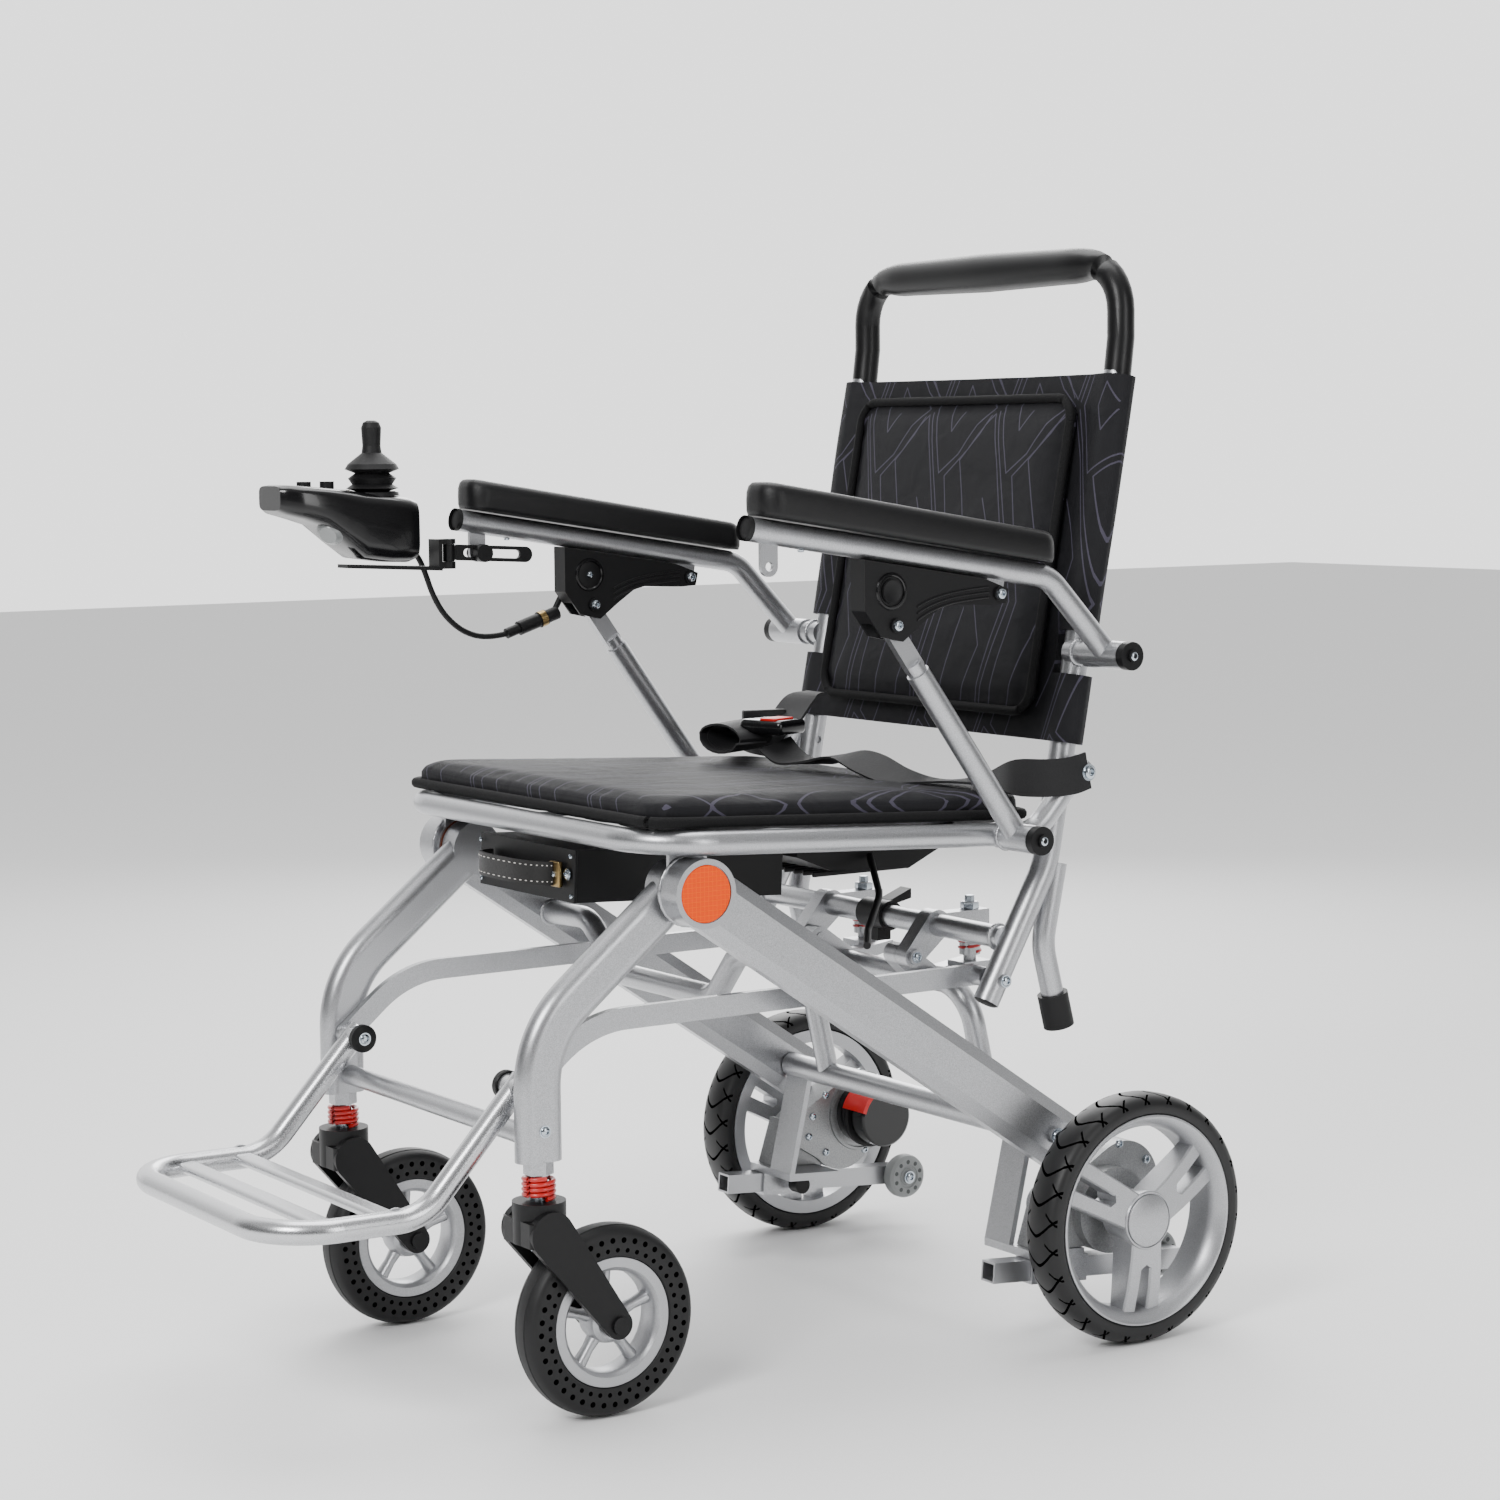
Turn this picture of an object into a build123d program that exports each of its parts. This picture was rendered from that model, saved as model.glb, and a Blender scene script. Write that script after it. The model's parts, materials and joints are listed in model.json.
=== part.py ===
from build123d import *
import os
from math import atan2, cos, hypot, pi, radians, sin, tan

os.makedirs("parts", exist_ok=True)

# Driving dimensions in millimetres. The chair faces -Y, the user's left is +X and the floor
# is z = 0. Heights and widths are true positions; distances along the chair are written from
# the rear axle line, negative towards the front, and moved to the frame by at() and side().
RUNNING_GAP = 0.05              # radial clearance of a pin in its bore
PART_GAP = 0.3                  # clearance between neighbours that move

REAR_WHEEL_R = 121.3
FOOT_BAR_Y, FOOT_BAR_R = -847.0, 11.0       # the footrest's front bar is the chair's front
REAR_AXLE_BACK = (FOOT_BAR_R - FOOT_BAR_Y - REAR_WHEEL_R) / 2   # axle's place behind the middle
REAR_WHEEL_X = (260.0, 304.0)
RIM_EDGE_R = 102.0
HUB_Y, HUB_Z = -460.0, 469.5    # side pivot that joins beam, front leg and seat
HUB_R = 31.5
HUB_PIN_R = 10.0
BEAM_X = (211.0, 239.0)
BEAM_DEPTH = 57.0
SUB_Y, SUB_Z = -62.0, 201.0     # pivot of the rear sub-frame at the beams' lower end
SUB_TUBE_R = 12.7

LEG_X = 190.5
LEG_W, LEG_DEPTH = 25.0, 44.0
STEM_Y = -607.5
LEG_FOOT_Z = 240.0
CASTER_R = 87.4
CASTER_TRAIL = 65.0
FOOT_PIVOT_Y, FOOT_PIVOT_Z = -610.0, 300.0

RAIL_X, RAIL_R = 235.0, 11.1
RAIL_DROP = 0.0517              # the seat falls this much per millimetre towards the back
SEAT_PIVOT_Y, SEAT_PIVOT_Z = -33.0, 551.0   # backrest pivot on the rails' upturned ends
SEAT_FRONT_Y = -512.0
SEAT_BEND_Y, SEAT_BEND_Z = -86.0, 495.0

BACK_X, BACK_R = 208.5, 12.7
LEVER_Y, LEVER_Z = -111.0, 354.0            # link bar pivot on the lower end of the backrest tube
ROCKER_Y, ROCKER_Z = -126.0, 363.0          # sub-frame pivot under the rear cross member
ARM_PIVOT_Y, ARM_PIVOT_Z = -18.5, 664.0
STRUT_FOOT_Y = -127.0
STRUT_FOOT_Z = SEAT_BEND_Z + (SEAT_BEND_Y - STRUT_FOOT_Y) * RAIL_DROP
STRUT_HEAD_Y, STRUT_HEAD_Z = -276.0, 702.0
HOUSING_PIVOT_Y, HOUSING_PIVOT_Z = -158.0, 727.0
ARM_X, ARM_R = 264.0, 11.1
ARM_FRONT_Y, ARM_FRONT_Z = -428.5, 792.5
ARM_BEND_Y, ARM_BEND_Z = -92.0, 740.5
ARM_CAP_X = 303.0
PIVOT_PIN_R = 6.0

MOTOR_Y, MOTOR_Z = 25.0, 140.0
BAR_X = 230.0                   # anti-tip bar
BAR_FRONT_Y, BAR_FRONT_Z = -138.0, 77.0
BAR_BACK_Y, BAR_BACK_Z = 96.0, 57.5

STICK_X = -262.0
STICK_Y = -525.0
DECK_Z = 818.0
CLAMP_Y, CLAMP_Z = -407.0, 758.7


def at(x, y, z):
    """A point whose y is measured from the rear axle line."""
    return (x, y + REAR_AXLE_BACK, z)


def side(x):
    """The plane x = constant; its own axes are y from the rear axle line, and z."""
    return Plane(origin=at(x, 0, 0), x_dir=(0, 1, 0), z_dir=(1, 0, 0))


def level(z):
    """The plane z = constant; its own axes are x, and y from the rear axle line."""
    return Plane(origin=at(0, 0, z), x_dir=(1, 0, 0), z_dir=(0, 0, 1))


def rod(x0, x1, y, z, radius, mode=Mode.ADD):
    """A round bar along X in the part being built."""
    with BuildSketch(side(x0)) as section:
        with Locations((y, z)):
            Circle(radius)
    extrude(to_extrude=section.sketch, amount=x1 - x0, mode=mode)


def post(x, y, z0, z1, radius, mode=Mode.ADD):
    """A round upright in the part being built."""
    with BuildSketch(level(z0)) as section:
        with Locations((x, y)):
            Circle(radius)
    extrude(to_extrude=section.sketch, amount=z1 - z0, mode=mode)


def plate(x0, x1, outline, mode=Mode.ADD):
    """A plate of the given side outline, from x0 to x1."""
    with BuildSketch(side(x0)) as section:
        Polygon(*outline, align=None)
    extrude(to_extrude=section.sketch, amount=x1 - x0, mode=mode)


def hull_plate(x0, x1, circles, mode=Mode.ADD):
    """A plate whose side outline wraps the given circles (y, z, radius)."""
    with BuildSketch(side(x0)) as section:
        for y, z, radius in circles:
            with Locations((y, z)):
                Circle(radius)
        make_hull()
    extrude(to_extrude=section.sketch, amount=x1 - x0, mode=mode)


def route(points, bends):
    """A bent centre line through points given with at()."""
    with BuildLine() as line:
        if len(points) == 2:
            Line(*points)
        else:
            FilletPolyline(*points, radius=bends)
    return line.line


def tube(points, radius, bends=None, mode=Mode.ADD):
    """A round tube along a bent centre line."""
    path = route(points, bends)
    with BuildSketch(Plane(path ^ 0)) as section:
        Circle(radius)
    sweep(sections=section.sketch, path=path, mode=mode)


def save(piece, name):
    piece.label = name
    export_step(piece, f"parts/{name}.step")


def save_pair(piece, name):
    """Write the left piece and its mirror image."""
    save(piece, f"{name}_left")
    save(mirror(piece, about=Plane.YZ), f"{name}_right")


# ---------------------------------------------------------------- main frame (beams)
beam_dir = (0, SUB_Y - HUB_Y, SUB_Z - HUB_Z)
beam_len = hypot(SUB_Y - HUB_Y, SUB_Z - HUB_Z)
beam_half = (BEAM_X[1] - BEAM_X[0]) / 2
BEVEL_X, BEVEL_Z = 7.0, 12.0

with BuildPart() as main_frame:
    beam_plane = Plane(origin=at(sum(BEAM_X) / 2, HUB_Y, HUB_Z), x_dir=(1, 0, 0), z_dir=beam_dir)
    with BuildSketch(beam_plane) as beam_section:
        Polygon(
            (beam_half, BEAM_DEPTH / 2 - BEVEL_Z),
            (beam_half - BEVEL_X, BEAM_DEPTH / 2),
            (BEVEL_X - beam_half, BEAM_DEPTH / 2),
            (-beam_half, BEAM_DEPTH / 2 - BEVEL_Z),
            (-beam_half, BEVEL_Z - BEAM_DEPTH / 2),
            (BEVEL_X - beam_half, -BEAM_DEPTH / 2),
            (beam_half - BEVEL_X, -BEAM_DEPTH / 2),
            (beam_half, BEVEL_Z - BEAM_DEPTH / 2),
            align=None,
        )
    extrude(amount=beam_len + 26)
    rod(BEAM_X[0] - 0.4, BEAM_X[1] + 1, HUB_Y, HUB_Z, HUB_R)
    rod(BEAM_X[1] - 1, BEAM_X[1] + 1, HUB_Y, HUB_Z, HUB_R - 5, mode=Mode.SUBTRACT)
    rod(LEG_X - 11, BEAM_X[0], HUB_Y, HUB_Z, HUB_PIN_R)
    rod(BEAM_X[1], BEAM_X[1] + 3.5, SUB_Y, SUB_Z, 7)
    mirror(about=Plane.YZ)
    tube(
        [at(BEAM_X[0] + 2, -357, 392), at(137, -357, 395), at(86, -352, 345),
         at(-86, -352, 345), at(-137, -357, 395), at(-BEAM_X[0] - 2, -357, 392)],
        RAIL_R,
        bends=[32, 32, 32, 32],
    )
save(main_frame.part, "main_frame")

# ---------------------------------------------------------------- front frame and casters
leg_slope = atan2(42.4, 52.4)
knee_z = HUB_Z - (HUB_Y - STEM_Y) * tan(leg_slope)
with BuildPart() as front_legs:
    leg_path = route(
        [at(LEG_X, STEM_Y, LEG_FOOT_Z), at(LEG_X, STEM_Y, knee_z), at(LEG_X, HUB_Y, HUB_Z)], 95
    )
    with BuildSketch(Plane(origin=at(LEG_X, STEM_Y, LEG_FOOT_Z), x_dir=(0, 1, 0))) as leg_section:
        SlotOverall(LEG_DEPTH, LEG_W)
    sweep(sections=leg_section.sketch, path=leg_path)
    rod(LEG_X - LEG_W / 2, LEG_X + LEG_W / 2, HUB_Y, HUB_Z, 26)
    rod(LEG_X - 12, LEG_X + LEG_W, HUB_Y, HUB_Z, HUB_PIN_R + RUNNING_GAP, mode=Mode.SUBTRACT)
    with BuildSketch(level(LEG_FOOT_Z - 11.5)) as nut_section:
        with Locations((LEG_X, STEM_Y)):
            RegularPolygon(13.5, 6)
    extrude(to_extrude=nut_section.sketch, amount=12)
    post(LEG_X, STEM_Y, LEG_FOOT_Z - 12, LEG_FOOT_Z + 62, 8 + RUNNING_GAP, mode=Mode.SUBTRACT)
    rod(142.0, LEG_X, FOOT_PIVOT_Y, FOOT_PIVOT_Z, 4)
    rod(137.5, 146.0, FOOT_PIVOT_Y, FOOT_PIVOT_Z, 11)
    mirror(about=Plane.YZ)
    rod(-(LEG_X - 10), LEG_X - 10, STEM_Y + 3, 258, 9.5)
save(front_legs.part, "front_legs")

with BuildPart() as caster_stem:
    post(LEG_X, STEM_Y, 160, LEG_FOOT_Z + 42, 8)
save_pair(caster_stem.part, "caster_stem")

SPRING_FOOT_Z = 205.4
with BuildPart() as caster_spring:
    post(LEG_X, STEM_Y, SPRING_FOOT_Z, LEG_FOOT_Z - 12.2, 15.5)
    post(LEG_X, STEM_Y, SPRING_FOOT_Z, LEG_FOOT_Z - 12.2, 11, mode=Mode.SUBTRACT)
save_pair(caster_spring.part, "caster_spring")

axle_y = STEM_Y + CASTER_TRAIL
with BuildPart() as caster_fork:
    post(LEG_X, STEM_Y, 168, 205, 24)
    for x0 in (LEG_X - 28, LEG_X + 20):
        hull_plate(x0, x0 + 8, [(STEM_Y - 2, 178, 21), (axle_y, CASTER_R, 13)])
    with BuildSketch(level(168)) as bridge_section:
        with Locations((LEG_X, STEM_Y - 3)):
            RectangleRounded(56, 40, 6)
    extrude(to_extrude=bridge_section.sketch, amount=22)
    post(LEG_X, STEM_Y, 140, 206, 8 + RUNNING_GAP, mode=Mode.SUBTRACT)
    rod(LEG_X - 24, LEG_X + 24, axle_y, CASTER_R, 5)
    for x0 in (LEG_X - 31, LEG_X + 28):
        rod(x0, x0 + 3, axle_y, CASTER_R, 8)
save_pair(caster_fork.part, "caster_fork")


def round_tyre(x0, x1, y, z, outer, inner, crown):
    """A tyre: a rounded section turned about the wheel's axle."""
    width = x1 - x0
    section_plane = Plane(origin=at((x0 + x1) / 2, y, z), x_dir=(1, 0, 0), z_dir=(0, -1, 0))
    with BuildSketch(section_plane) as section:
        with BuildLine():
            Polyline(
                (-width / 2 + 3, inner),
                (width / 2 - 3, inner),
                (width / 2, inner + 4),
                (width / 2, outer - crown),
            )
            ThreePointArc((width / 2, outer - crown), (0, outer), (-width / 2, outer - crown))
            Polyline(
                (-width / 2, outer - crown),
                (-width / 2, inner + 4),
                (-width / 2 + 3, inner),
            )
        make_face()
    revolve(profiles=section.sketch, axis=Axis(at(0, y, z), (1, 0, 0)))


def spoked_rim(x0, x1, web, y, z, rim_r, rim_wall, hub_r, bore_r, spokes, spoke_w):
    """A rim ring, a hub and straight spokes between them."""
    with BuildSketch(side(x0)) as ring_section:
        with Locations((y, z)):
            Circle(rim_r)
            Circle(rim_r - rim_wall, mode=Mode.SUBTRACT)
            Circle(hub_r)
    extrude(to_extrude=ring_section.sketch, amount=x1 - x0)
    with BuildSketch(side(web[0])) as spoke_section:
        with Locations((y, z)):
            for angle in spokes:
                with Locations(Location((0, 0, 0), (0, 0, 1), angle)):
                    with Locations((rim_r / 2, 0)):
                        Rectangle(rim_r - rim_wall, spoke_w)
    extrude(to_extrude=spoke_section.sketch, amount=web[1] - web[0])
    rod(x0 - 1, x1 + 1, y, z, bore_r, mode=Mode.SUBTRACT)


CASTER_HALF = 17.5
with BuildPart() as caster_wheel:
    round_tyre(LEG_X - CASTER_HALF, LEG_X + CASTER_HALF, axle_y, CASTER_R, CASTER_R, 58, 9)
    spoked_rim(LEG_X - 15.4, LEG_X + 15.4, (LEG_X - 13, LEG_X + 13), axle_y, CASTER_R, 58.9, 6,
               16, 5 + RUNNING_GAP, [90 + 60 * k for k in range(6)], 11)
save_pair(caster_wheel.part, "caster_wheel")

# ---------------------------------------------------------------- link bars and footrest
LINK_X = (169.5, 177.5)
with BuildPart() as link_bars:
    link_mid = sum(LINK_X) / 2
    link_path = route(
        [at(link_mid, FOOT_PIVOT_Y, FOOT_PIVOT_Z), at(link_mid, -545, LEVER_Z),
         at(link_mid, LEVER_Y, LEVER_Z)], 110
    )
    with BuildSketch(Plane(link_path ^ 0)) as link_section:
        Rectangle(20, 20)
    sweep(sections=link_section.sketch, path=link_path)
    for y, z in ((FOOT_PIVOT_Y, FOOT_PIVOT_Z), (LEVER_Y, LEVER_Z)):
        rod(LINK_X[0], LINK_X[1], y, z, 10.3)
    plate(LINK_X[0] - 20, LINK_X[0], [(-700, 200), (0, 200), (0, 450), (-700, 450)],
          mode=Mode.SUBTRACT)
    plate(LINK_X[1], LINK_X[1] + 20, [(-700, 200), (0, 200), (0, 450), (-700, 450)],
          mode=Mode.SUBTRACT)
    rod(LINK_X[1], BACK_X - BACK_R - 0.5, LEVER_Y, LEVER_Z, 9.5)
    rod(LINK_X[0] - 1, LINK_X[1] + 1, FOOT_PIVOT_Y, FOOT_PIVOT_Z, 4 + RUNNING_GAP,
        mode=Mode.SUBTRACT)
    mirror(about=Plane.YZ)
save(link_bars.part, "link_bars")

FOOT_X = 158.0
with BuildPart() as footrest:
    tube(
        [at(FOOT_X, FOOT_PIVOT_Y + 6, FOOT_PIVOT_Z + 7), at(FOOT_X, -706, 196),
         at(FOOT_X, FOOT_BAR_Y, 198), at(-FOOT_X, FOOT_BAR_Y, 198), at(-FOOT_X, -706, 196),
         at(-FOOT_X, FOOT_PIVOT_Y + 6, FOOT_PIVOT_Z + 7)],
        FOOT_BAR_R,
        bends=[55, 60, 60, 55],
    )
    for bar_y in (-733, -791):
        with BuildSketch(side(-FOOT_X)) as bar_section:
            with Locations((bar_y, 197.5)):
                SlotOverall(20, 9)
        extrude(to_extrude=bar_section.sketch, amount=2 * FOOT_X)
    for sign in (1, -1):
        rod(sign * 146.6, sign * 169.2, FOOT_PIVOT_Y, FOOT_PIVOT_Z, 11)
        rod(sign * 140.0, sign * 172.0, FOOT_PIVOT_Y, FOOT_PIVOT_Z, 4 + RUNNING_GAP,
            mode=Mode.SUBTRACT)
        rod(sign * 140.0, sign * 146.6, FOOT_PIVOT_Y, FOOT_PIVOT_Z, 11.6, mode=Mode.SUBTRACT)
save(footrest.part, "footrest")

# ---------------------------------------------------------------- seat frame, cushion, battery
front_rail_z = SEAT_BEND_Z + (SEAT_BEND_Y - SEAT_FRONT_Y) * RAIL_DROP
rail_end = (SEAT_PIVOT_Y + 8, SEAT_PIVOT_Z + 8.5)
with BuildPart() as seat_frame:
    tube(
        [at(RAIL_X, *rail_end), at(RAIL_X, SEAT_BEND_Y, SEAT_BEND_Z),
         at(RAIL_X, SEAT_FRONT_Y, front_rail_z), at(-RAIL_X, SEAT_FRONT_Y, front_rail_z),
         at(-RAIL_X, SEAT_BEND_Y, SEAT_BEND_Z), at(-RAIL_X, *rail_end)],
        RAIL_R,
        bends=[38, 62, 62, 38],
    )
    rod(-RAIL_X, RAIL_X, -165, SEAT_BEND_Z + (SEAT_BEND_Y + 165) * RAIL_DROP, 9)
    for sign in (1, -1):
        rod(sign * RAIL_X, sign * 249.6, STRUT_FOOT_Y, STRUT_FOOT_Z, 12.5)
        rod(sign * 226.0, sign * 252.0, STRUT_FOOT_Y, STRUT_FOOT_Z, PIVOT_PIN_R + RUNNING_GAP,
            mode=Mode.SUBTRACT)
        rod(sign * 199.0, sign * RAIL_X, SEAT_PIVOT_Y, SEAT_PIVOT_Z, 4)
        rod(sign * 205.6, sign * 210.2, HUB_Y, HUB_Z, 28)
        plate(sign * 205.6, sign * 210.2,
              [(HUB_Y - 20, HUB_Z), (HUB_Y + 20, HUB_Z), (HUB_Y + 20, 509), (HUB_Y - 20, 509)])
        plate(sign * 205.6, sign * 226.0,
              [(HUB_Y - 20, 503.6), (HUB_Y + 20, 503.6), (HUB_Y + 20, 510), (HUB_Y - 20, 510)])
        rod(sign * 204.0, sign * 212.0, HUB_Y, HUB_Z, HUB_PIN_R + RUNNING_GAP,
            mode=Mode.SUBTRACT)
    for sign in (1, -1):
        plate(sign * 91.0, sign * 96.0,
              [(SEAT_FRONT_Y, front_rail_z - 6), (SEAT_FRONT_Y, front_rail_z - 2),
               (-165, 497), (-165, 493)])
save(seat_frame.part, "seat_frame")

CUSHION_X = 230.0
cushion_plane = Plane(
    origin=at(0, -510, 529.0), x_dir=(1, 0, 0), z_dir=(0, RAIL_DROP, 1)
)
with BuildPart() as seat_cushion:
    with BuildSketch(cushion_plane) as cushion_section:
        with Locations((0, 214)):
            RectangleRounded(2 * CUSHION_X, 428, 22)
    extrude(amount=22)
    fillet(seat_cushion.edges().group_by(Axis.Z)[-1], 6)
save(seat_cushion.part, "seat_cushion")

BATTERY_X = 88.5
tray_plane = Plane(origin=at(0, -507, 448), x_dir=(1, 0, 0), z_dir=(0, RAIL_DROP, 1))
with BuildPart() as battery_case:
    with BuildSketch(tray_plane) as battery_section:
        with Locations((0, 116)):
            Rectangle(2 * BATTERY_X - 4, 232)
    extrude(to_extrude=battery_section.sketch, amount=49)
    with BuildSketch(tray_plane) as end_section:
        with Locations((0, 1.5)):
            RectangleRounded(2 * BATTERY_X, 3, 1)
    extrude(to_extrude=end_section.sketch, amount=49)
save(battery_case.part, "battery_case")

with BuildPart() as battery_handle:
    with BuildSketch(tray_plane.offset(13)) as strap_section:
        with BuildLine():
            Polyline((-64, -0.4), (-64, -8), (-50, -28), (48, -28), (62, -8), (62, -0.4),
                     (59, -0.4), (59, -8), (46, -25), (-48, -25), (-61, -8), (-61, -0.4),
                     (-64, -0.4))
        make_face()
    extrude(to_extrude=strap_section.sketch, amount=23)
save(battery_handle.part, "battery_handle")

with BuildPart() as controller_case:
    plate(-84, 84, [(-255, 484), (-88, 476), (-80, 468), (-122, 449), (-215, 454), (-255, 470)])
save(controller_case.part, "controller_case")

BELT_Z = 545.0
with BuildPart() as lap_belt:
    with BuildSketch(level(BELT_Z)) as near_strap:
        with BuildLine():
            Polyline((222, -128), (120, -168), (-38, -178), (-38, -148), (120, -138), (222, -98),
                     (222, -128))
        make_face()
    extrude(to_extrude=near_strap.sketch, amount=4)
    with BuildSketch(level(BELT_Z)) as far_strap:
        with BuildLine():
            Polyline((-222, -128), (-120, -168), (-120, -138), (-222, -98), (-222, -128))
        make_face()
    extrude(to_extrude=far_strap.sketch, amount=4)
    with BuildSketch(level(BELT_Z)) as heap_section:
        with Locations((-80, -180)):
            RectangleRounded(90, 110, 18)
    extrude(to_extrude=heap_section.sketch, amount=34)
    for sign in (1, -1):
        with BuildSketch(side(sign * 247.0)) as tab_section:
            with Locations(Location((-44, 551), (0, 0, 1), 20)):
                RectangleRounded(66, 38, 6)
        extrude(to_extrude=tab_section.sketch, amount=sign * 2.5)
        with BuildSketch(level(BELT_Z)) as tail_section:
            with BuildLine():
                Polyline((sign * 222, -128), (sign * 222, -98), (sign * 246, -60),
                         (sign * 249.5, -60), (sign * 249.5, -84), (sign * 222, -128))
            make_face()
        extrude(to_extrude=tail_section.sketch, amount=4)
save(lap_belt.part, "lap_belt")

# ---------------------------------------------------------------- backrest
back_slope = atan2(931 - 506, 38.9 + 41.5)
LEVER_END_Y, LEVER_END_Z = -123.0, 333.0
elbow = (-50.4, 459.0)
back_top_y = SEAT_PIVOT_Y + (932 - SEAT_PIVOT_Z) / tan(back_slope)
with BuildPart() as backrest_frame:
    for sign in (1, -1):
        tube(
            [at(sign * BACK_X, LEVER_END_Y, LEVER_END_Z), at(sign * BACK_X, *elbow),
             at(sign * BACK_X, back_top_y, 932)],
            BACK_R,
            bends=[85],
        )
        tube(
            [at(sign * BACK_X, -37, 461), at(sign * BACK_X, -54, 383), at(sign * BACK_X, -34, 304)],
            RAIL_R,
            bends=[60],
        )
        rod(sign * BACK_X, sign * 235.6, ARM_PIVOT_Y, ARM_PIVOT_Z, 11.5)
        rod(sign * 212.0, sign * 240.0, ARM_PIVOT_Y, ARM_PIVOT_Z, PIVOT_PIN_R + RUNNING_GAP,
            mode=Mode.SUBTRACT)
        rod(sign * 190.0, sign * 225.0, SEAT_PIVOT_Y, SEAT_PIVOT_Z, 4 + RUNNING_GAP,
            mode=Mode.SUBTRACT)
        rod(sign * (BACK_X + BACK_R - 1), sign * (BACK_X + BACK_R + 3), LEVER_Y, LEVER_Z, 6.5)
save(backrest_frame.part, "backrest_frame")

HANDLE_Z = 1037.0
with BuildPart() as push_handle:
    tube(
        [at(BACK_X, back_top_y, 932.3), at(BACK_X, back_top_y + 5, 962),
         at(BACK_X, back_top_y + 5, HANDLE_Z), at(-BACK_X, back_top_y + 5, HANDLE_Z),
         at(-BACK_X, back_top_y + 5, 962), at(-BACK_X, back_top_y, 932.3)],
        BACK_R,
        bends=[40, 46, 46, 40],
    )
    rod(-112, 112, back_top_y + 5, HANDLE_Z, 16.5)
save(push_handle.part, "push_handle")

CROSS_Y, CROSS_Z = -97.0, 392.0
SPRING_Y = -51.0
with BuildPart() as rear_cross_member:
    rod(-BACK_X + 5, BACK_X - 5, CROSS_Y, CROSS_Z, RAIL_R)
    for sign in (1, -1):
        hull_plate(sign * 81.2, sign * 99.0, [(ROCKER_Y, ROCKER_Z, 11), (CROSS_Y, CROSS_Z, 15)])
        plate(sign * 81.2, sign * 99.0, [(-106, 388), (-33, 388), (-33, 403), (-106, 403)])
        rod(sign * 61.0, sign * 103.0, ROCKER_Y, ROCKER_Z, 5)
        rod(sign * 99.0, sign * 103.0, ROCKER_Y, ROCKER_Z, 7.5)
        post(sign * 90.1, SPRING_Y, 403.0, 411.0, 8)
        post(sign * 90.1, SPRING_Y, 411.0, 417.0, 4)
        post(sign * 90.1, SPRING_Y, 358.0, 388.0, 10.5)
        post(sign * 90.1, SPRING_Y, 352.4, 358.0, 6.5)
save(rear_cross_member.part, "rear_cross_member")

with BuildPart() as foot_caps:
    for x in (BACK_X, -BACK_X):
        tube([at(x, -41.5, 333.5), at(x, -33.2, 300.8)], 15)
        tube([at(x, -54.0, 383.0), at(x, -34.0, 304.0)], RAIL_R + 0.1, mode=Mode.SUBTRACT)
save(foot_caps.part, "foot_caps")

with BuildPart() as fold_latch:
    rod(-20, 20, CROSS_Y, CROSS_Z, 15)
    rod(-21, 21, CROSS_Y, CROSS_Z, RAIL_R + RUNNING_GAP, mode=Mode.SUBTRACT)
    plate(-9, 9, [(CROSS_Y + 10, CROSS_Z + 9), (CROSS_Y + 34, CROSS_Z + 14),
                  (CROSS_Y + 34, CROSS_Z + 24), (CROSS_Y + 8, CROSS_Z + 14)])
    plate(-9, 9, [(CROSS_Y - 8, CROSS_Z - 13), (CROSS_Y + 8, CROSS_Z - 13),
                  (CROSS_Y + 8, CROSS_Z - 26), (CROSS_Y - 8, CROSS_Z - 26)])
save(fold_latch.part, "fold_latch")


def back_plane(offset):
    """A plane along the backrest tubes; its own axes are x and the way up the backrest."""
    front = (0, -sin(back_slope), cos(back_slope))
    origin = at(0, SEAT_PIVOT_Y + offset * front[1], SEAT_PIVOT_Z + offset * front[2])
    return Plane(origin=origin, x_dir=(1, 0, 0), z_dir=front)


COVER_X = 232.0
with BuildPart() as backrest_cover:
    with BuildSketch(back_plane(-15)) as cover_section:
        with Locations((0, 205)):
            RectangleRounded(2 * COVER_X, 350, 8)
        for sign in (1, -1):
            with Locations((sign * COVER_X, 113)):
                Rectangle(56, 42, mode=Mode.SUBTRACT)
    extrude(to_extrude=cover_section.sketch, amount=32)
    for sign in (1, -1):
        tube([at(sign * BACK_X, SEAT_PIVOT_Y - 20, SEAT_PIVOT_Z - 20 * tan(back_slope)),
              at(sign * BACK_X, back_top_y + 20, 932 + 20 * tan(back_slope))],
             BACK_R + 0.2, mode=Mode.SUBTRACT)
save(backrest_cover.part, "backrest_cover")

with BuildPart() as backrest_pad:
    with BuildSketch(back_plane(17.3)) as pad_section:
        with Locations((0, 205)):
            RectangleRounded(356, 318, 24)
    extrude(to_extrude=pad_section.sketch, amount=10)
    fillet(backrest_pad.faces().sort_by(Axis.Y)[0].edges(), 3)
save(backrest_pad.part, "backrest_pad")

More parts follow.
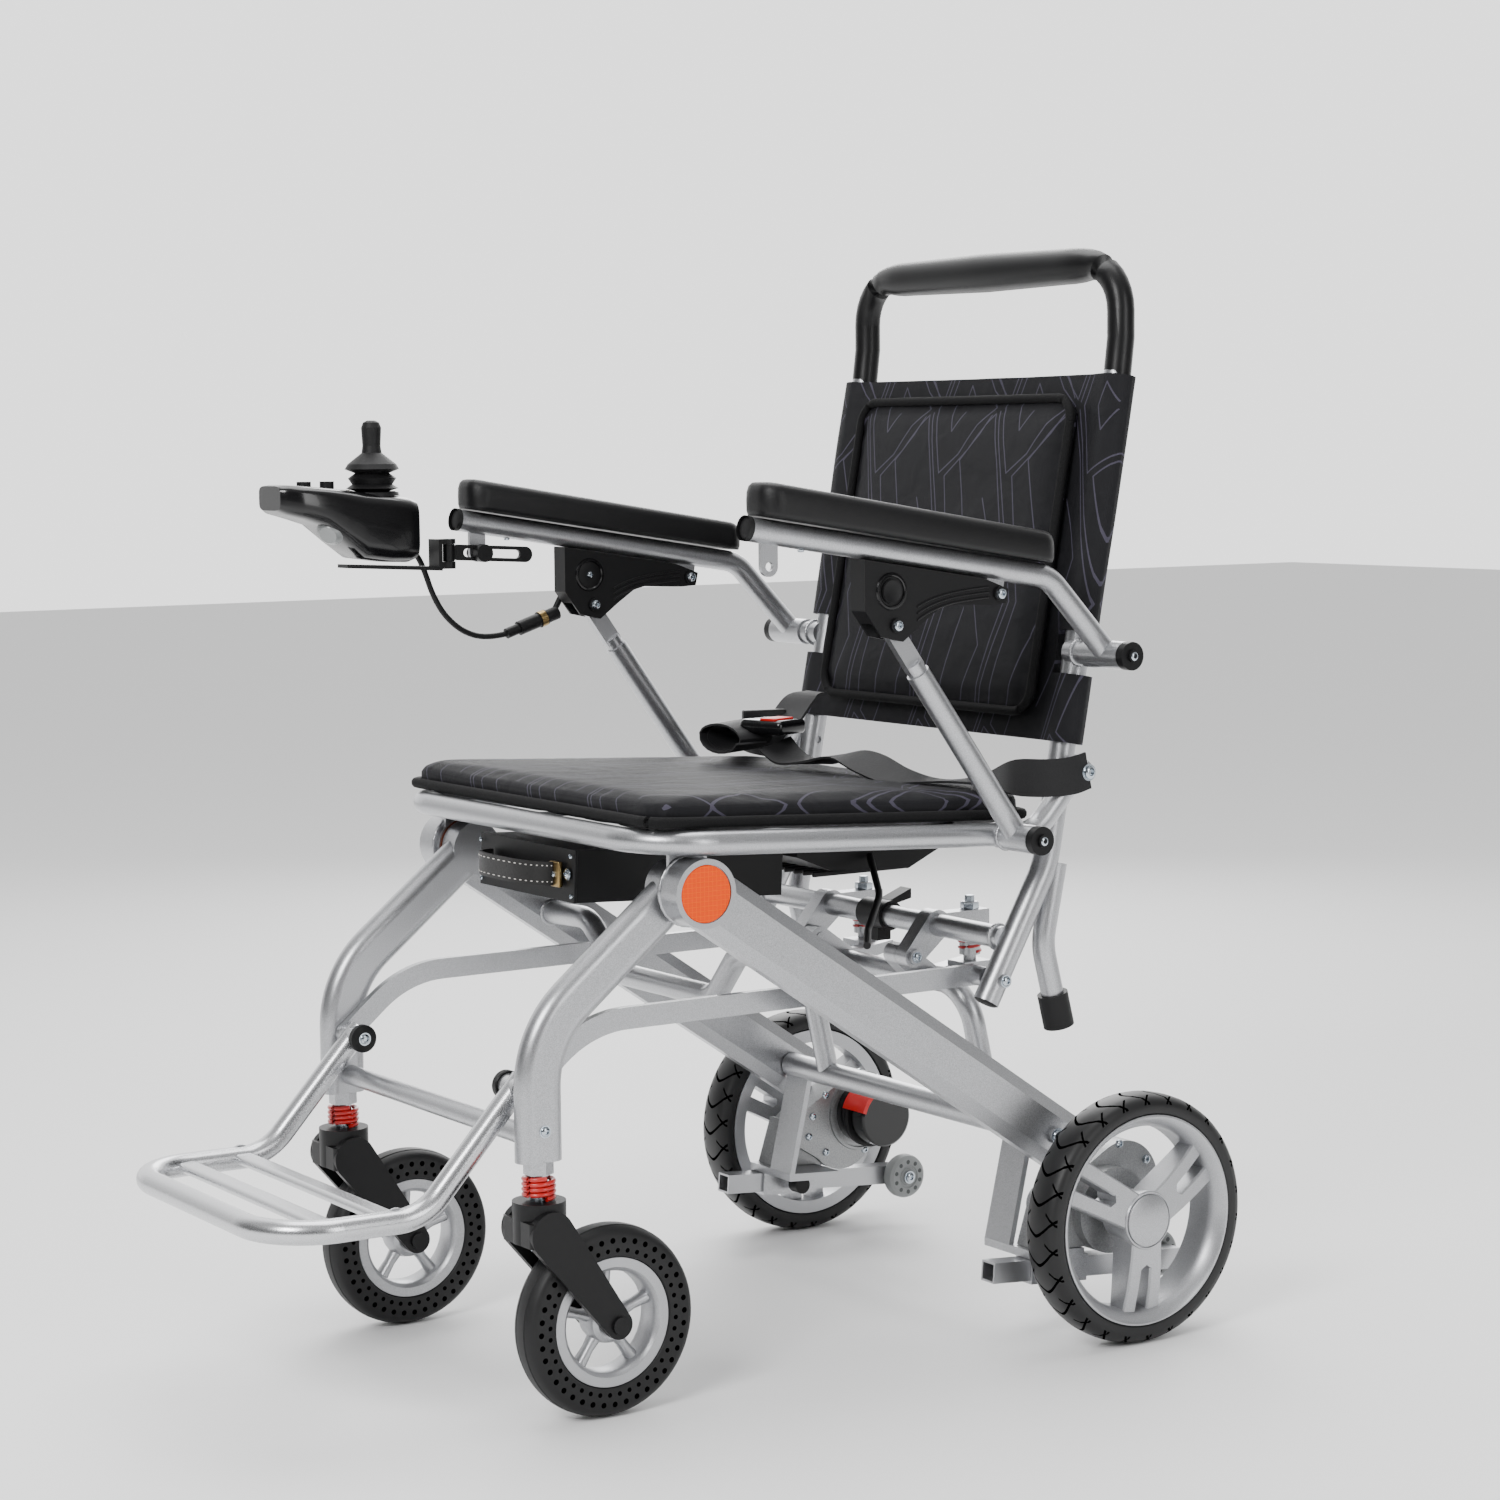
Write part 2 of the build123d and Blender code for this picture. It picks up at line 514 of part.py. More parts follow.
# ---------------------------------------------------------------- armrests
arm_drop = (ARM_FRONT_Z - ARM_BEND_Z) / (ARM_BEND_Y - ARM_FRONT_Y)
with BuildPart() as armrest_tube:
    tube(
        [at(ARM_X, ARM_FRONT_Y, ARM_FRONT_Z), at(ARM_X, ARM_BEND_Y, ARM_BEND_Z),
         at(ARM_X, ARM_PIVOT_Y, ARM_PIVOT_Z)],
        ARM_R,
        bends=[40],
    )
    rod(236.0, 290.8, ARM_PIVOT_Y, ARM_PIVOT_Z, 13.5)
    rod(235.0, 292.0, ARM_PIVOT_Y, ARM_PIVOT_Z, PIVOT_PIN_R + RUNNING_GAP, mode=Mode.SUBTRACT)
    hull_plate(260.5, 267.5, [(HOUSING_PIVOT_Y, HOUSING_PIVOT_Z, 10),
                              (HOUSING_PIVOT_Y + 3, HOUSING_PIVOT_Z + 18, 10)])
    rod(260.0, 268.0, HOUSING_PIVOT_Y, HOUSING_PIVOT_Z, 4 + RUNNING_GAP, mode=Mode.SUBTRACT)
    hull_plate(262.0, 266.0, [(CLAMP_Y, 783, 9), (CLAMP_Y, CLAMP_Z, 9)])
    rod(261.0, 267.0, CLAMP_Y, CLAMP_Z, 4 + RUNNING_GAP, mode=Mode.SUBTRACT)
save_pair(armrest_tube.part, "armrest_tube")

pad_plane = Plane(
    origin=at(ARM_X, -422, ARM_FRONT_Z - 6.5 * arm_drop + ARM_R + 0.2),
    x_dir=(1, 0, 0), z_dir=(0, arm_drop, 1)
)
with BuildPart() as armrest_pad:
    with BuildSketch(pad_plane) as pad_outline:
        with Locations((0, 164)):
            RectangleRounded(50, 328, 20)
    extrude(amount=28)
    fillet(armrest_pad.edges().group_by(Axis.Z)[-1], 8)
save_pair(armrest_pad.part, "armrest_pad")


def under_tube(y, gap):
    """Height just below the armrest tube."""
    return ARM_BEND_Z + (ARM_BEND_Y - y) * arm_drop - ARM_R - gap


HOUSING_X = (253.0, 275.0)
BUTTON_Y, BUTTON_Z = -281.0, 733.0
housing_outline = [
    (-310, under_tube(-310, 0.6)), (-310, 716), (-292, 692), (-268, 687), (-246, 703),
    (-222, 719), (-168, 717), (-150, 718), (-147, 731), (-176, under_tube(-176, 0.6)),
]
with BuildPart() as strut_housing:
    plate(HOUSING_X[0], HOUSING_X[1], housing_outline)
    plate(255.8, 272.2, [(-306, 712), (-286, 680), (-255, 680), (-232, 712), (-246, 748),
                         (-306, 748)], mode=Mode.SUBTRACT)
    plate(260.0, 268.0, [(-182, 700), (-130, 700), (-130, 760), (-182, 760)],
          mode=Mode.SUBTRACT)
    rod(272.0, 276.0, BUTTON_Y, BUTTON_Z, 11 + RUNNING_GAP, mode=Mode.SUBTRACT)
    rod(260.0, 268.0, HOUSING_PIVOT_Y, HOUSING_PIVOT_Z, 4)
    for x0, x1 in ((HOUSING_X[1], HOUSING_X[1] + 3), (HOUSING_X[0] - 3, HOUSING_X[0])):
        rod(x0, x1, HOUSING_PIVOT_Y, HOUSING_PIVOT_Z, 6.5)
        rod(x0, x1, STRUT_HEAD_Y, STRUT_HEAD_Z, 6.5)
save_pair(strut_housing.part, "strut_housing")

with BuildPart() as release_button:
    rod(271.0, 277.0, BUTTON_Y, BUTTON_Z, 11)
    rod(269.2, 271.0, BUTTON_Y, BUTTON_Z, 13)
save_pair(release_button.part, "release_button")

strut_angle = atan2(STRUT_HEAD_Z - STRUT_FOOT_Z, STRUT_HEAD_Y - STRUT_FOOT_Y)


def on_strut(distance):
    """A point of the strut's side view, this far up from its lower pivot."""
    return (STRUT_FOOT_Y + distance * cos(strut_angle), STRUT_FOOT_Z + distance * sin(strut_angle))


STRUT_LEN = hypot(STRUT_HEAD_Y - STRUT_FOOT_Y, STRUT_HEAD_Z - STRUT_FOOT_Z)
with BuildPart() as armrest_strut:
    tube([at(ARM_X, *on_strut(0)), at(ARM_X, *on_strut(STRUT_LEN - 55))], ARM_R)
    tube([at(ARM_X, *on_strut(STRUT_LEN - 56)), at(ARM_X, *on_strut(STRUT_LEN - 44))], 9.2)
    hull_plate(ARM_X - 4, ARM_X + 4, [(*on_strut(STRUT_LEN - 48), 9), (*on_strut(STRUT_LEN), 9)])
    rod(250.0, 290.8, STRUT_FOOT_Y, STRUT_FOOT_Z, 13.5)
    rod(249.0, 292.0, STRUT_FOOT_Y, STRUT_FOOT_Z, PIVOT_PIN_R + RUNNING_GAP, mode=Mode.SUBTRACT)
save_pair(armrest_strut.part, "armrest_strut")

for pivot_name, pivot_y, pivot_z, inner_x in (
    ("armrest_pivots", ARM_PIVOT_Y, ARM_PIVOT_Z, 214.0),
    ("strut_pivots", STRUT_FOOT_Y, STRUT_FOOT_Z, 228.0),
):
    with BuildPart() as pivot_cap:
        rod(inner_x, 292.0, pivot_y, pivot_z, PIVOT_PIN_R)
        rod(291.1, 300.0, pivot_y, pivot_z, 13.5)
        rod(300.0, ARM_CAP_X, pivot_y, pivot_z, 6)
        mirror(about=Plane.YZ)
    save(pivot_cap.part, pivot_name)

# ---------------------------------------------------------------- rear sub-frame and drives
bar_slope = (BAR_BACK_Z - BAR_FRONT_Z) / (BAR_BACK_Y - BAR_FRONT_Y)
KNOB_Y = -60.0
KNOB_Z = BAR_FRONT_Z + (KNOB_Y - BAR_FRONT_Y) * bar_slope


def bar_plane(x):
    """A plane across the anti-tip bar at its front end."""
    return Plane(origin=at(x, BAR_FRONT_Y, BAR_FRONT_Z), x_dir=(1, 0, 0), z_dir=(0, 1, bar_slope))


with BuildPart() as rear_subframe:
    for sign in (1, -1):
        hull_plate(sign * 62.0, sign * 80.8, [(ROCKER_Y, ROCKER_Z, 11), (-96, 338, 14)])
        plate(sign * 62.0, sign * 80.8,
              [(-100, 350), (-76, 346), (-34, 352), (-34, 342), (-84, 330)])
        plate(sign * 76.0, sign * 104.0, [(-68, 352), (-34, 352), (-34, 342), (-68, 338)])
        rod(sign * 60.0, sign * 82.0, ROCKER_Y, ROCKER_Z, 5 + RUNNING_GAP, mode=Mode.SUBTRACT)
        plate(sign * 168.0, sign * 206.0,
              [(SUB_Y - 6, SUB_Z), (SUB_Y, SUB_Z), (-88, 90), (-94, 90)])
        plate(sign * 168.0, sign * 243.0, [(-94, 84), (-30, 79.1), (-30, 87.1), (-94, 92)])
        with BuildSketch(bar_plane(sign * BAR_X).offset(44)) as socket_section:
            Rectangle(26, 26)
        extrude(to_extrude=socket_section.sketch, amount=68)
        with BuildSketch(bar_plane(sign * BAR_X)) as socket_hollow:
            Rectangle(20.6, 20.6)
        extrude(to_extrude=socket_hollow.sketch, amount=200, mode=Mode.SUBTRACT)
        rod(sign * 208.0, sign * 219.0, KNOB_Y, KNOB_Z, 7)
        rod(sign * 206.0, sign * 221.0, KNOB_Y, KNOB_Z, 4 + RUNNING_GAP, mode=Mode.SUBTRACT)
    rod(-BEAM_X[0] + 1.5, BEAM_X[0] - 1.5, SUB_Y, SUB_Z, SUB_TUBE_R)
    tube(
        [at(140, SUB_Y, SUB_Z), at(140, -93, 336), at(-140, -93, 336), at(-140, SUB_Y, SUB_Z)],
        RAIL_R,
        bends=[40, 40],
    )
save(rear_subframe.part, "rear_subframe")

with BuildPart() as drive_units:
    rod(203.0, 252.0, 0, REAR_WHEEL_R, 42)
    hull_plate(203.0, 236.0, [(0, REAR_WHEEL_R, 40), (MOTOR_Y, MOTOR_Z, 44), (-52, 128, 18)])
    plate(208.5, 240.0, [(-86, 91.8), (-26, 87.2), (-26, 130), (-70, 140)])
    rod(252.0, 294.0, 0, REAR_WHEEL_R, 8)
    rod(160.0, 203.0, MOTOR_Y, MOTOR_Z, 30)
    mirror(about=Plane.YZ)
save(drive_units.part, "drive_units")

with BuildPart() as freewheel_lever:
    hull_plate(180.0, 188.0, [(MOTOR_Y, MOTOR_Z, 33), (MOTOR_Y - 38, MOTOR_Z + 19, 6)])
    rod(179.0, 189.0, MOTOR_Y, MOTOR_Z, 30.3, mode=Mode.SUBTRACT)
save_pair(freewheel_lever.part, "freewheel_lever")

FORKED_SPOKES = [30 + 120 * spoke + split for spoke in range(3) for split in (-13, 13)]
with BuildPart() as rear_wheel:
    round_tyre(*REAR_WHEEL_X, 0, REAR_WHEEL_R, REAR_WHEEL_R, RIM_EDGE_R - 1, 8)
    spoked_rim(REAR_WHEEL_X[0] + 2, REAR_WHEEL_X[1] - 1, (286, 300), 0, REAR_WHEEL_R, RIM_EDGE_R,
               10, 27, 8 + RUNNING_GAP, FORKED_SPOKES, 13)
    rod(296.0, REAR_WHEEL_X[1] + 1, 0, REAR_WHEEL_R, 24)
save_pair(rear_wheel.part, "rear_wheel")

with BuildPart() as anti_tip_bar:
    bar_length = hypot(BAR_BACK_Y - BAR_FRONT_Y, BAR_BACK_Z - BAR_FRONT_Z)
    with BuildSketch(bar_plane(BAR_X)) as bar_outline:
        Rectangle(20, 20)
    extrude(to_extrude=bar_outline.sketch, amount=bar_length)
    with BuildSketch(bar_plane(BAR_X)) as bar_hollow:
        Rectangle(16, 16)
    extrude(to_extrude=bar_hollow.sketch, amount=30, mode=Mode.SUBTRACT)
    rod(218.0, 222.0, KNOB_Y, KNOB_Z, 4 + RUNNING_GAP, mode=Mode.SUBTRACT)
    rod(200.0, 221.0, BAR_BACK_Y - 8, BAR_BACK_Z + 0.7, 4)
save_pair(anti_tip_bar.part, "anti_tip_bar")

with BuildPart() as anti_tip_wheel:
    rod(202.0, 219.6, BAR_BACK_Y - 8, BAR_BACK_Z + 0.7, 24)
    fillet(anti_tip_wheel.edges().filter_by(GeomType.CIRCLE), 4)
    rod(201.0, 221.0, BAR_BACK_Y - 8, BAR_BACK_Z + 0.7, 4 + RUNNING_GAP, mode=Mode.SUBTRACT)
save_pair(anti_tip_wheel.part, "anti_tip_wheel")

with BuildPart() as lock_knob:
    rod(193.0, 207.6, KNOB_Y, KNOB_Z, 9)
    rod(207.6, 219.6, KNOB_Y, KNOB_Z, 4)
save_pair(lock_knob.part, "lock_knob")

# ---------------------------------------------------------------- joystick controller
with BuildPart() as joystick_case:
    plate(STICK_X - 33, STICK_X + 33,
          [(-636, 806), (-636, 830), (-600, 828), (-491, 815), (-487, 800), (-487, 752),
           (-561, 755), (-592, 792)])
    post(STICK_X, STICK_Y, DECK_Z - 22, DECK_Z + 20, 15, mode=Mode.SUBTRACT)
    for button_y in (-575, -600):
        post(STICK_X, button_y, 811, 845, 7 + RUNNING_GAP, mode=Mode.SUBTRACT)
save(joystick_case.part, "joystick_case")

with BuildPart() as joystick_stick:
    with BuildSketch(side(STICK_X)) as stick_section:
        with BuildLine():
            Polyline((STICK_Y, DECK_Z - 16), (STICK_Y + 7, DECK_Z - 14), (STICK_Y + 10, DECK_Z + 3),
                     (STICK_Y + 26, DECK_Z + 8), (STICK_Y + 20, DECK_Z + 12),
                     (STICK_Y + 24, DECK_Z + 18), (STICK_Y + 17, DECK_Z + 23),
                     (STICK_Y + 27, DECK_Z + 27), (STICK_Y + 24, DECK_Z + 32),
                     (STICK_Y + 10, DECK_Z + 43), (STICK_Y + 9, DECK_Z + 50),
                     (STICK_Y + 10, DECK_Z + 68), (STICK_Y + 8, DECK_Z + 73),
                     (STICK_Y + 4, DECK_Z + 75), (STICK_Y, DECK_Z + 75),
                     (STICK_Y, DECK_Z - 16))
        make_face()
    revolve(profiles=stick_section.sketch, axis=Axis(at(STICK_X, STICK_Y, 0), (0, 0, 1)))
save(joystick_stick.part, "joystick_stick")

for button_name, button_y in (("power_button", -600), ("horn_button", -575)):
    with BuildPart() as panel_button:
        post(STICK_X, button_y, 813, 833.5, 7)
    save(panel_button.part, button_name)

SLIDE_X = STICK_X + 2.6
HINGE_Y = -443.0
with BuildPart() as joystick_bracket:
    plate(STICK_X - 8, STICK_X + 14,
          [(-561, 748), (-455, 742.5), (-455, 774), (-459, 774), (-459, 746.8), (-561, 751.6)])
    for z0, z1 in ((744, 751), (769, 774)):
        post(STICK_X + 4.6, HINGE_Y, z0, z1, 7)
        with BuildSketch(level(z0)) as ear_section:
            with Locations((STICK_X + 4.6, HINGE_Y - 7)):
                Rectangle(10, 14)
        extrude(to_extrude=ear_section.sketch, amount=z1 - z0)
    post(STICK_X + 4.6, HINGE_Y, 750, 770, 3)
save(joystick_bracket.part, "joystick_bracket")

with BuildPart() as joystick_slide:
    with BuildSketch(side(SLIDE_X)) as slide_section:
        with Locations(Location((-394, 758), (0, 0, 1), -3)):
            SlotOverall(94, 16)
            SlotOverall(66, 8.6, mode=Mode.SUBTRACT)
    extrude(to_extrude=slide_section.sketch, amount=4)
    post(STICK_X + 4.6, HINGE_Y, 751.3, 768.7, 6)
    post(STICK_X + 4.6, HINGE_Y, 740, 780, 3 + RUNNING_GAP, mode=Mode.SUBTRACT)
save(joystick_slide.part, "joystick_slide")

with BuildPart() as slide_clamp:
    rod(STICK_X - 8, STICK_X + 14, CLAMP_Y, CLAMP_Z, 4)
    rod(STICK_X + 6.9, STICK_X + 16, CLAMP_Y, CLAMP_Z, 9)
    rod(STICK_X - 12, STICK_X - 4.3, CLAMP_Y, CLAMP_Z, 6.5)
save(slide_clamp.part, "slide_clamp")

# ---------------------------------------------------------------- cables
CABLE_R = 3.0
CABLE_X = STICK_X - 26


def cable(points, name, radius=CABLE_R):
    """A hanging cable: straight runs joined by the largest tangent arcs they leave room for."""
    spots = [Vector(*point) for point in points]
    bends = []
    for before, spot, after in zip(spots, spots[1:], spots[2:]):
        turn = radians((spot - before).get_angle(after - spot))
        bends.append(0.45 * min((spot - before).length, (after - spot).length) / tan(turn / 2))
    tube(points, radius, bends=bends)
    path = route(points, bends)
    length = sum(edge.length for edge in path.edges())
    print(name, "length", round(length, 1), "radii", [round(bend, 1) for bend in bends])
    print(name, "section x length", round(length * pi * radius ** 2, 1))


with BuildPart() as joystick_cable:
    cable([at(CABLE_X, -486.5, 769), at(CABLE_X, -474, 767), at(CABLE_X, -462, 757),
           at(CABLE_X, -454, 740), at(CABLE_X, -446, 717), at(CABLE_X, -432, 694),
           at(CABLE_X, -409, 676), at(CABLE_X, -382, 670), at(CABLE_X, -361, 673.5)],
          "joystick cable")
print("joystick cable volume", round(joystick_cable.part.volume, 1))
save(joystick_cable.part, "joystick_cable")

plug_start = Plane(origin=at(CABLE_X, -361, 673.5), x_dir=(1, 0, 0), z_dir=(0, 54, 17.5))
with BuildPart() as cable_plug:
    for start, end, radius in ((0.5, 16, 5.5), (16, 42, 7.5), (42, 50, 8.2)):
        with BuildSketch(plug_start.offset(start)):
            Circle(radius)
        extrude(amount=end - start)
save(cable_plug.part, "cable_plug")

with BuildPart() as arm_lead:
    with BuildSketch(plug_start.offset(50.3)):
        Circle(7)
    extrude(amount=14)
    tube([at(CABLE_X, -305, 692), at(CABLE_X, -288, 722), at(CABLE_X + 4, -280, 772),
          at(-279.5, -262, 769), at(-279.5, -92, 742), at(-279.5, -42, 690)],
         3.2, bends=[16, 10, 8, 40])
save(arm_lead.part, "arm_lead")

LEAD_R = 3.5
with BuildPart() as power_leads:
    tube([at(88.4, -172, 466), at(150, -205, 437), at(190, -248, 412), at(226, -275, 404)],
         LEAD_R, bends=[60, 40])
save(power_leads.part, "power_leads")
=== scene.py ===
import bmesh
import bpy
import json
from math import cos, pi, radians, sin, sqrt
from mathutils import Matrix, Vector, noise


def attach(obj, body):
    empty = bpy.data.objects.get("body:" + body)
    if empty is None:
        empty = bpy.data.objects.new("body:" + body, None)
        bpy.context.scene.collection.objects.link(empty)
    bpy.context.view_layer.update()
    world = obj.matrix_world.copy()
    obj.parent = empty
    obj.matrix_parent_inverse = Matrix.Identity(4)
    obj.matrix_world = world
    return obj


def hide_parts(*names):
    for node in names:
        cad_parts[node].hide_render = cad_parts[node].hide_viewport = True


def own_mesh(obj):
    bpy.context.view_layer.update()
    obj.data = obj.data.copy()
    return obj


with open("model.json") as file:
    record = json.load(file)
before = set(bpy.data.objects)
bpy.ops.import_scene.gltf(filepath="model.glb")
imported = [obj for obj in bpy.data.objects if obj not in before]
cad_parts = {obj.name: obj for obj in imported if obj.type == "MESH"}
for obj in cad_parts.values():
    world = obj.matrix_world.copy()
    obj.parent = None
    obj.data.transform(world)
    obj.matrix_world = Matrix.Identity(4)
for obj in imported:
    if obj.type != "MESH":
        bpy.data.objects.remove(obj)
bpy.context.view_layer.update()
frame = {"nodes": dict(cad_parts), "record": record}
NODES = frame["nodes"]
BEHIND = 0.36835                    # rear axle line to the frame's middle, in metres


def mm(x, y, z):
    """A point in millimetres, y measured from the rear axle line, in the frame's metres."""
    return Vector((x / 1000, y / 1000 + BEHIND, z / 1000))


# Camera
YAW, PITCH, ROLL = radians(56.272), radians(5.434), radians(-0.5565)
camera_data = bpy.data.cameras.new("camera")
camera_data.lens = 77.8
camera_data.sensor_width = 36
camera_data.clip_end = 50
camera = bpy.data.objects.new("camera", camera_data)
bpy.context.scene.collection.objects.link(camera)
forward = Vector((-sin(YAW) * cos(PITCH), cos(YAW) * cos(PITCH), -sin(PITCH)))
level_right = Vector((cos(YAW), sin(YAW), 0))
level_up = level_right.cross(forward)
right = cos(ROLL) * level_right + sin(ROLL) * level_up
up = -sin(ROLL) * level_right + cos(ROLL) * level_up
turn = Matrix((right, up, -forward)).transposed()
camera.matrix_world = Matrix.Translation(mm(2631, -2008.5, 868.5)) @ turn.to_4x4()
bpy.context.scene.camera = camera


# Small builders
def link(name, data):
    made = bpy.data.objects.new(name, data)
    bpy.context.scene.collection.objects.link(made)
    return made


def mesh_piece(name, points, faces, body, material, smooth=True):
    """A mesh from points and faces, riding on a body."""
    data = bpy.data.meshes.new(name)
    data.from_pydata([tuple(p) for p in points], [], faces)
    data.update()
    work = bmesh.new()
    work.from_mesh(data)
    bmesh.ops.remove_doubles(work, verts=work.verts, dist=1e-6)
    bmesh.ops.recalc_face_normals(work, faces=work.faces)
    work.to_mesh(data)
    work.free()
    made = link(name, data)
    data.materials.append(material)
    if smooth:
        data.shade_smooth()
    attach(made, body)
    return made


def lathe(profile, centre, axis, steps=64):
    """Points and faces of an outline (distance along the axis, radius) turned about the axis."""
    along = Vector(axis).normalized()
    across = along.orthogonal().normalized()
    other = along.cross(across)
    points = []
    for k in range(steps):
        angle = 2 * pi * k / steps
        outward = across * cos(angle) + other * sin(angle)
        points += [Vector(centre) + along * (a / 1000) + outward * (r / 1000) for a, r in profile]
    n = len(profile)
    faces = []
    for k in range(steps):
        for i in range(n - 1):
            nxt = (k + 1) % steps
            faces.append((k * n + i, k * n + i + 1, nxt * n + i + 1, nxt * n + i))
    return points, faces


def turned(name, profile, centre, axis, body, material, steps=64):
    points, faces = lathe(profile, centre, axis, steps)
    made = mesh_piece(name, points, faces, body, material)
    sharpen(made, 35)
    return made


def sharpen(made, degrees=35):
    """Keeps edges sharper than the given angle crisp."""
    work = bmesh.new()
    work.from_mesh(made.data)
    for edge in work.edges:
        edge.smooth = edge.calc_face_angle(0) < radians(degrees)
    work.to_mesh(made.data)
    work.free()


def smooth_path(points, per_run=8):
    """Points of a Catmull-Rom line through the given points."""
    line = []
    for i in range(len(points) - 1):
        p0 = points[max(i - 1, 0)]
        p1, p2 = points[i], points[i + 1]
        p3 = points[min(i + 2, len(points) - 1)]
        for k in range(per_run):
            t = k / per_run
            line.append(0.5 * (2 * p1 + (p2 - p0) * t + (2 * p0 - 5 * p1 + 4 * p2 - p3) * t * t
                               + (3 * p1 - p0 - 3 * p2 + p3) * t * t * t))
    line.append(points[-1])
    return line


def tube_piece(name, points, radii, body, material, sides=20, flat=1.0):
    """A tube through points; radii in metres, one for each point or one for all."""
    if not hasattr(radii, "__len__"):
        radii = [radii] * len(points)
    verts, faces = [], []
    reference = Vector((1, 0, 0))
    for i, p in enumerate(points):
        ahead = (points[min(i + 1, len(points) - 1)] - points[max(i - 1, 0)]).normalized()
        if abs(ahead.dot(reference)) > 0.9:
            side_dir = ahead.cross(Vector((0, 1, 0))).normalized()
        else:
            side_dir = ahead.cross(reference).normalized()
        up_dir = side_dir.cross(ahead)
        for k in range(sides):
            angle = 2 * pi * k / sides
            verts.append(p + radii[i] * (side_dir * cos(angle) * flat + up_dir * sin(angle)))
    for i in range(len(points) - 1):
        for k in range(sides):
            a, b = i * sides + k, i * sides + (k + 1) % sides
            faces.append((a, b, b + sides, a + sides))
    faces.append(tuple(range(sides)))
    faces.append(tuple((len(points) - 1) * sides + k for k in range(sides)))
    made = mesh_piece(name, verts, faces, body, material)
    sharpen(made, 60)
    return made


def ribbon(name, points, width, thick, across, body, material):
    """A strap through points; across gives the direction of its width at each point."""
    verts, faces = [], []
    for i, p in enumerate(points):
        ahead = (points[min(i + 1, len(points) - 1)] - points[max(i - 1, 0)]).normalized()
        w = across[i] - ahead * across[i].dot(ahead)
        w.normalize()
        n = ahead.cross(w)
        for a, b in ((-1, -1), (1, -1), (1, 1), (-1, 1)):
            verts.append(p + w * (a * width / 2) + n * (b * thick / 2))
    for i in range(len(points) - 1):
        for k in range(4):
            a, b = 4 * i + k, 4 * i + (k + 1) % 4
            faces.append((a, b, b + 4, a + 4))
    faces.append((0, 1, 2, 3))
    faces.append(tuple(4 * (len(points) - 1) + k for k in range(4)))
    made = mesh_piece(name, verts, faces, body, material)
    sharpen(made, 40)
    return made


def rounded_rectangle(half_x, half_y, corner, steps=8):
    """Outline points of a rounded rectangle, anticlockwise."""
    outline = []
    for cx, cy, start in ((1, 1, 0), (-1, 1, 90), (-1, -1, 180), (1, -1, 270)):
        for k in range(steps + 1):
            angle = radians(start + 90 * k / steps)
            outline.append((cx * (half_x - corner) + corner * cos(angle),
                            cy * (half_y - corner) + corner * sin(angle)))
    return outline


def soft_slab(name, half_x, half_y, corner, levels, place, body, material, wrinkle=0.0):
    """A padded slab: rounded outlines stacked at levels (inset, height), then a filled crown."""
    rings = []
    for inset, height in levels:
        outline = rounded_rectangle(half_x - inset, half_y - inset, max(corner - inset, 6))
        rings.append([(x, y, height) for x, y in outline])
    n = len(rings[0])
    verts = [p for ring in rings for p in ring]
    faces = []
    for i in range(len(rings) - 1):
        for k in range(n):
            a, b = i * n + k, i * n + (k + 1) % n
            faces.append((a, b, b + n, a + n))
    moved = []
    for x, y, h in verts:
        ripple = noise.noise(Vector((x * 0.013, y * 0.021, 3.1))) * wrinkle
        ripple += noise.noise(Vector((x * 0.05, y * 0.035, 9.2))) * wrinkle * 0.35
        moved.append(place(x, y, h + (ripple if h > levels[0][1] + 4 else 0)))
    faces.append(tuple(range(n)))
    faces.append(tuple((len(rings) - 1) * n + k for k in range(n)))
    made = mesh_piece(name, moved, faces, body, material)
    return made


def inflate(made, voxel, pressure, cap, frames=18):
    """Swells a closed piece as padded fabric does: remesh, cloth under pressure, capped moves."""
    view = bpy.context.view_layer
    remesh = made.modifiers.new("remesh", "REMESH")
    remesh.mode = "VOXEL"
    remesh.voxel_size = voxel
    apply_modifiers(made)
    before = [v.co.copy() for v in made.data.vertices]
    cloth = made.modifiers.new("cloth", "CLOTH")
    cloth.settings.quality = 5
    cloth.settings.mass = 0.2
    cloth.settings.tension_stiffness = 14
    cloth.settings.compression_stiffness = 14
    cloth.settings.shear_stiffness = 5
    cloth.settings.bending_stiffness = 0.6
    cloth.settings.use_pressure = True
    cloth.settings.uniform_pressure_force = pressure
    cloth.settings.effector_weights.gravity = 0
    cloth.point_cache.frame_start = 1
    cloth.point_cache.frame_end = frames
    scene = bpy.context.scene
    for step in range(1, frames + 1):
        scene.frame_set(step)
    view.update()
    apply_modifiers(made)
    scene.frame_set(1)
    for vertex, home in zip(made.data.vertices, before):
        move = vertex.co - home
        if move.length > cap:
            vertex.co = home + move * (cap / move.length)
    made.data.shade_smooth()


def apply_modifiers(made):
    """Bakes a piece's modifiers into its mesh."""
    graph = bpy.context.evaluated_depsgraph_get()
    done = bpy.data.meshes.new_from_object(made.evaluated_get(graph))
    made.modifiers.clear()
    made.data = done


# Materials
def material(name, colour, metallic=0.0, roughness=0.5, coat=0.0, sheen=0.0, transmission=0.0,
             shine=0.5):
    made = bpy.data.materials.new(name)
    made.use_nodes = True
    shader = made.node_tree.nodes["Principled BSDF"]
    shader.inputs["Base Color"].default_value = (*colour, 1)
    shader.inputs["Metallic"].default_value = metallic
    shader.inputs["Roughness"].default_value = roughness
    shader.inputs["Coat Weight"].default_value = coat
    shader.inputs["Sheen Weight"].default_value = sheen
    shader.inputs["Transmission Weight"].default_value = transmission
    shader.inputs["Specular IOR Level"].default_value = shine
    return made


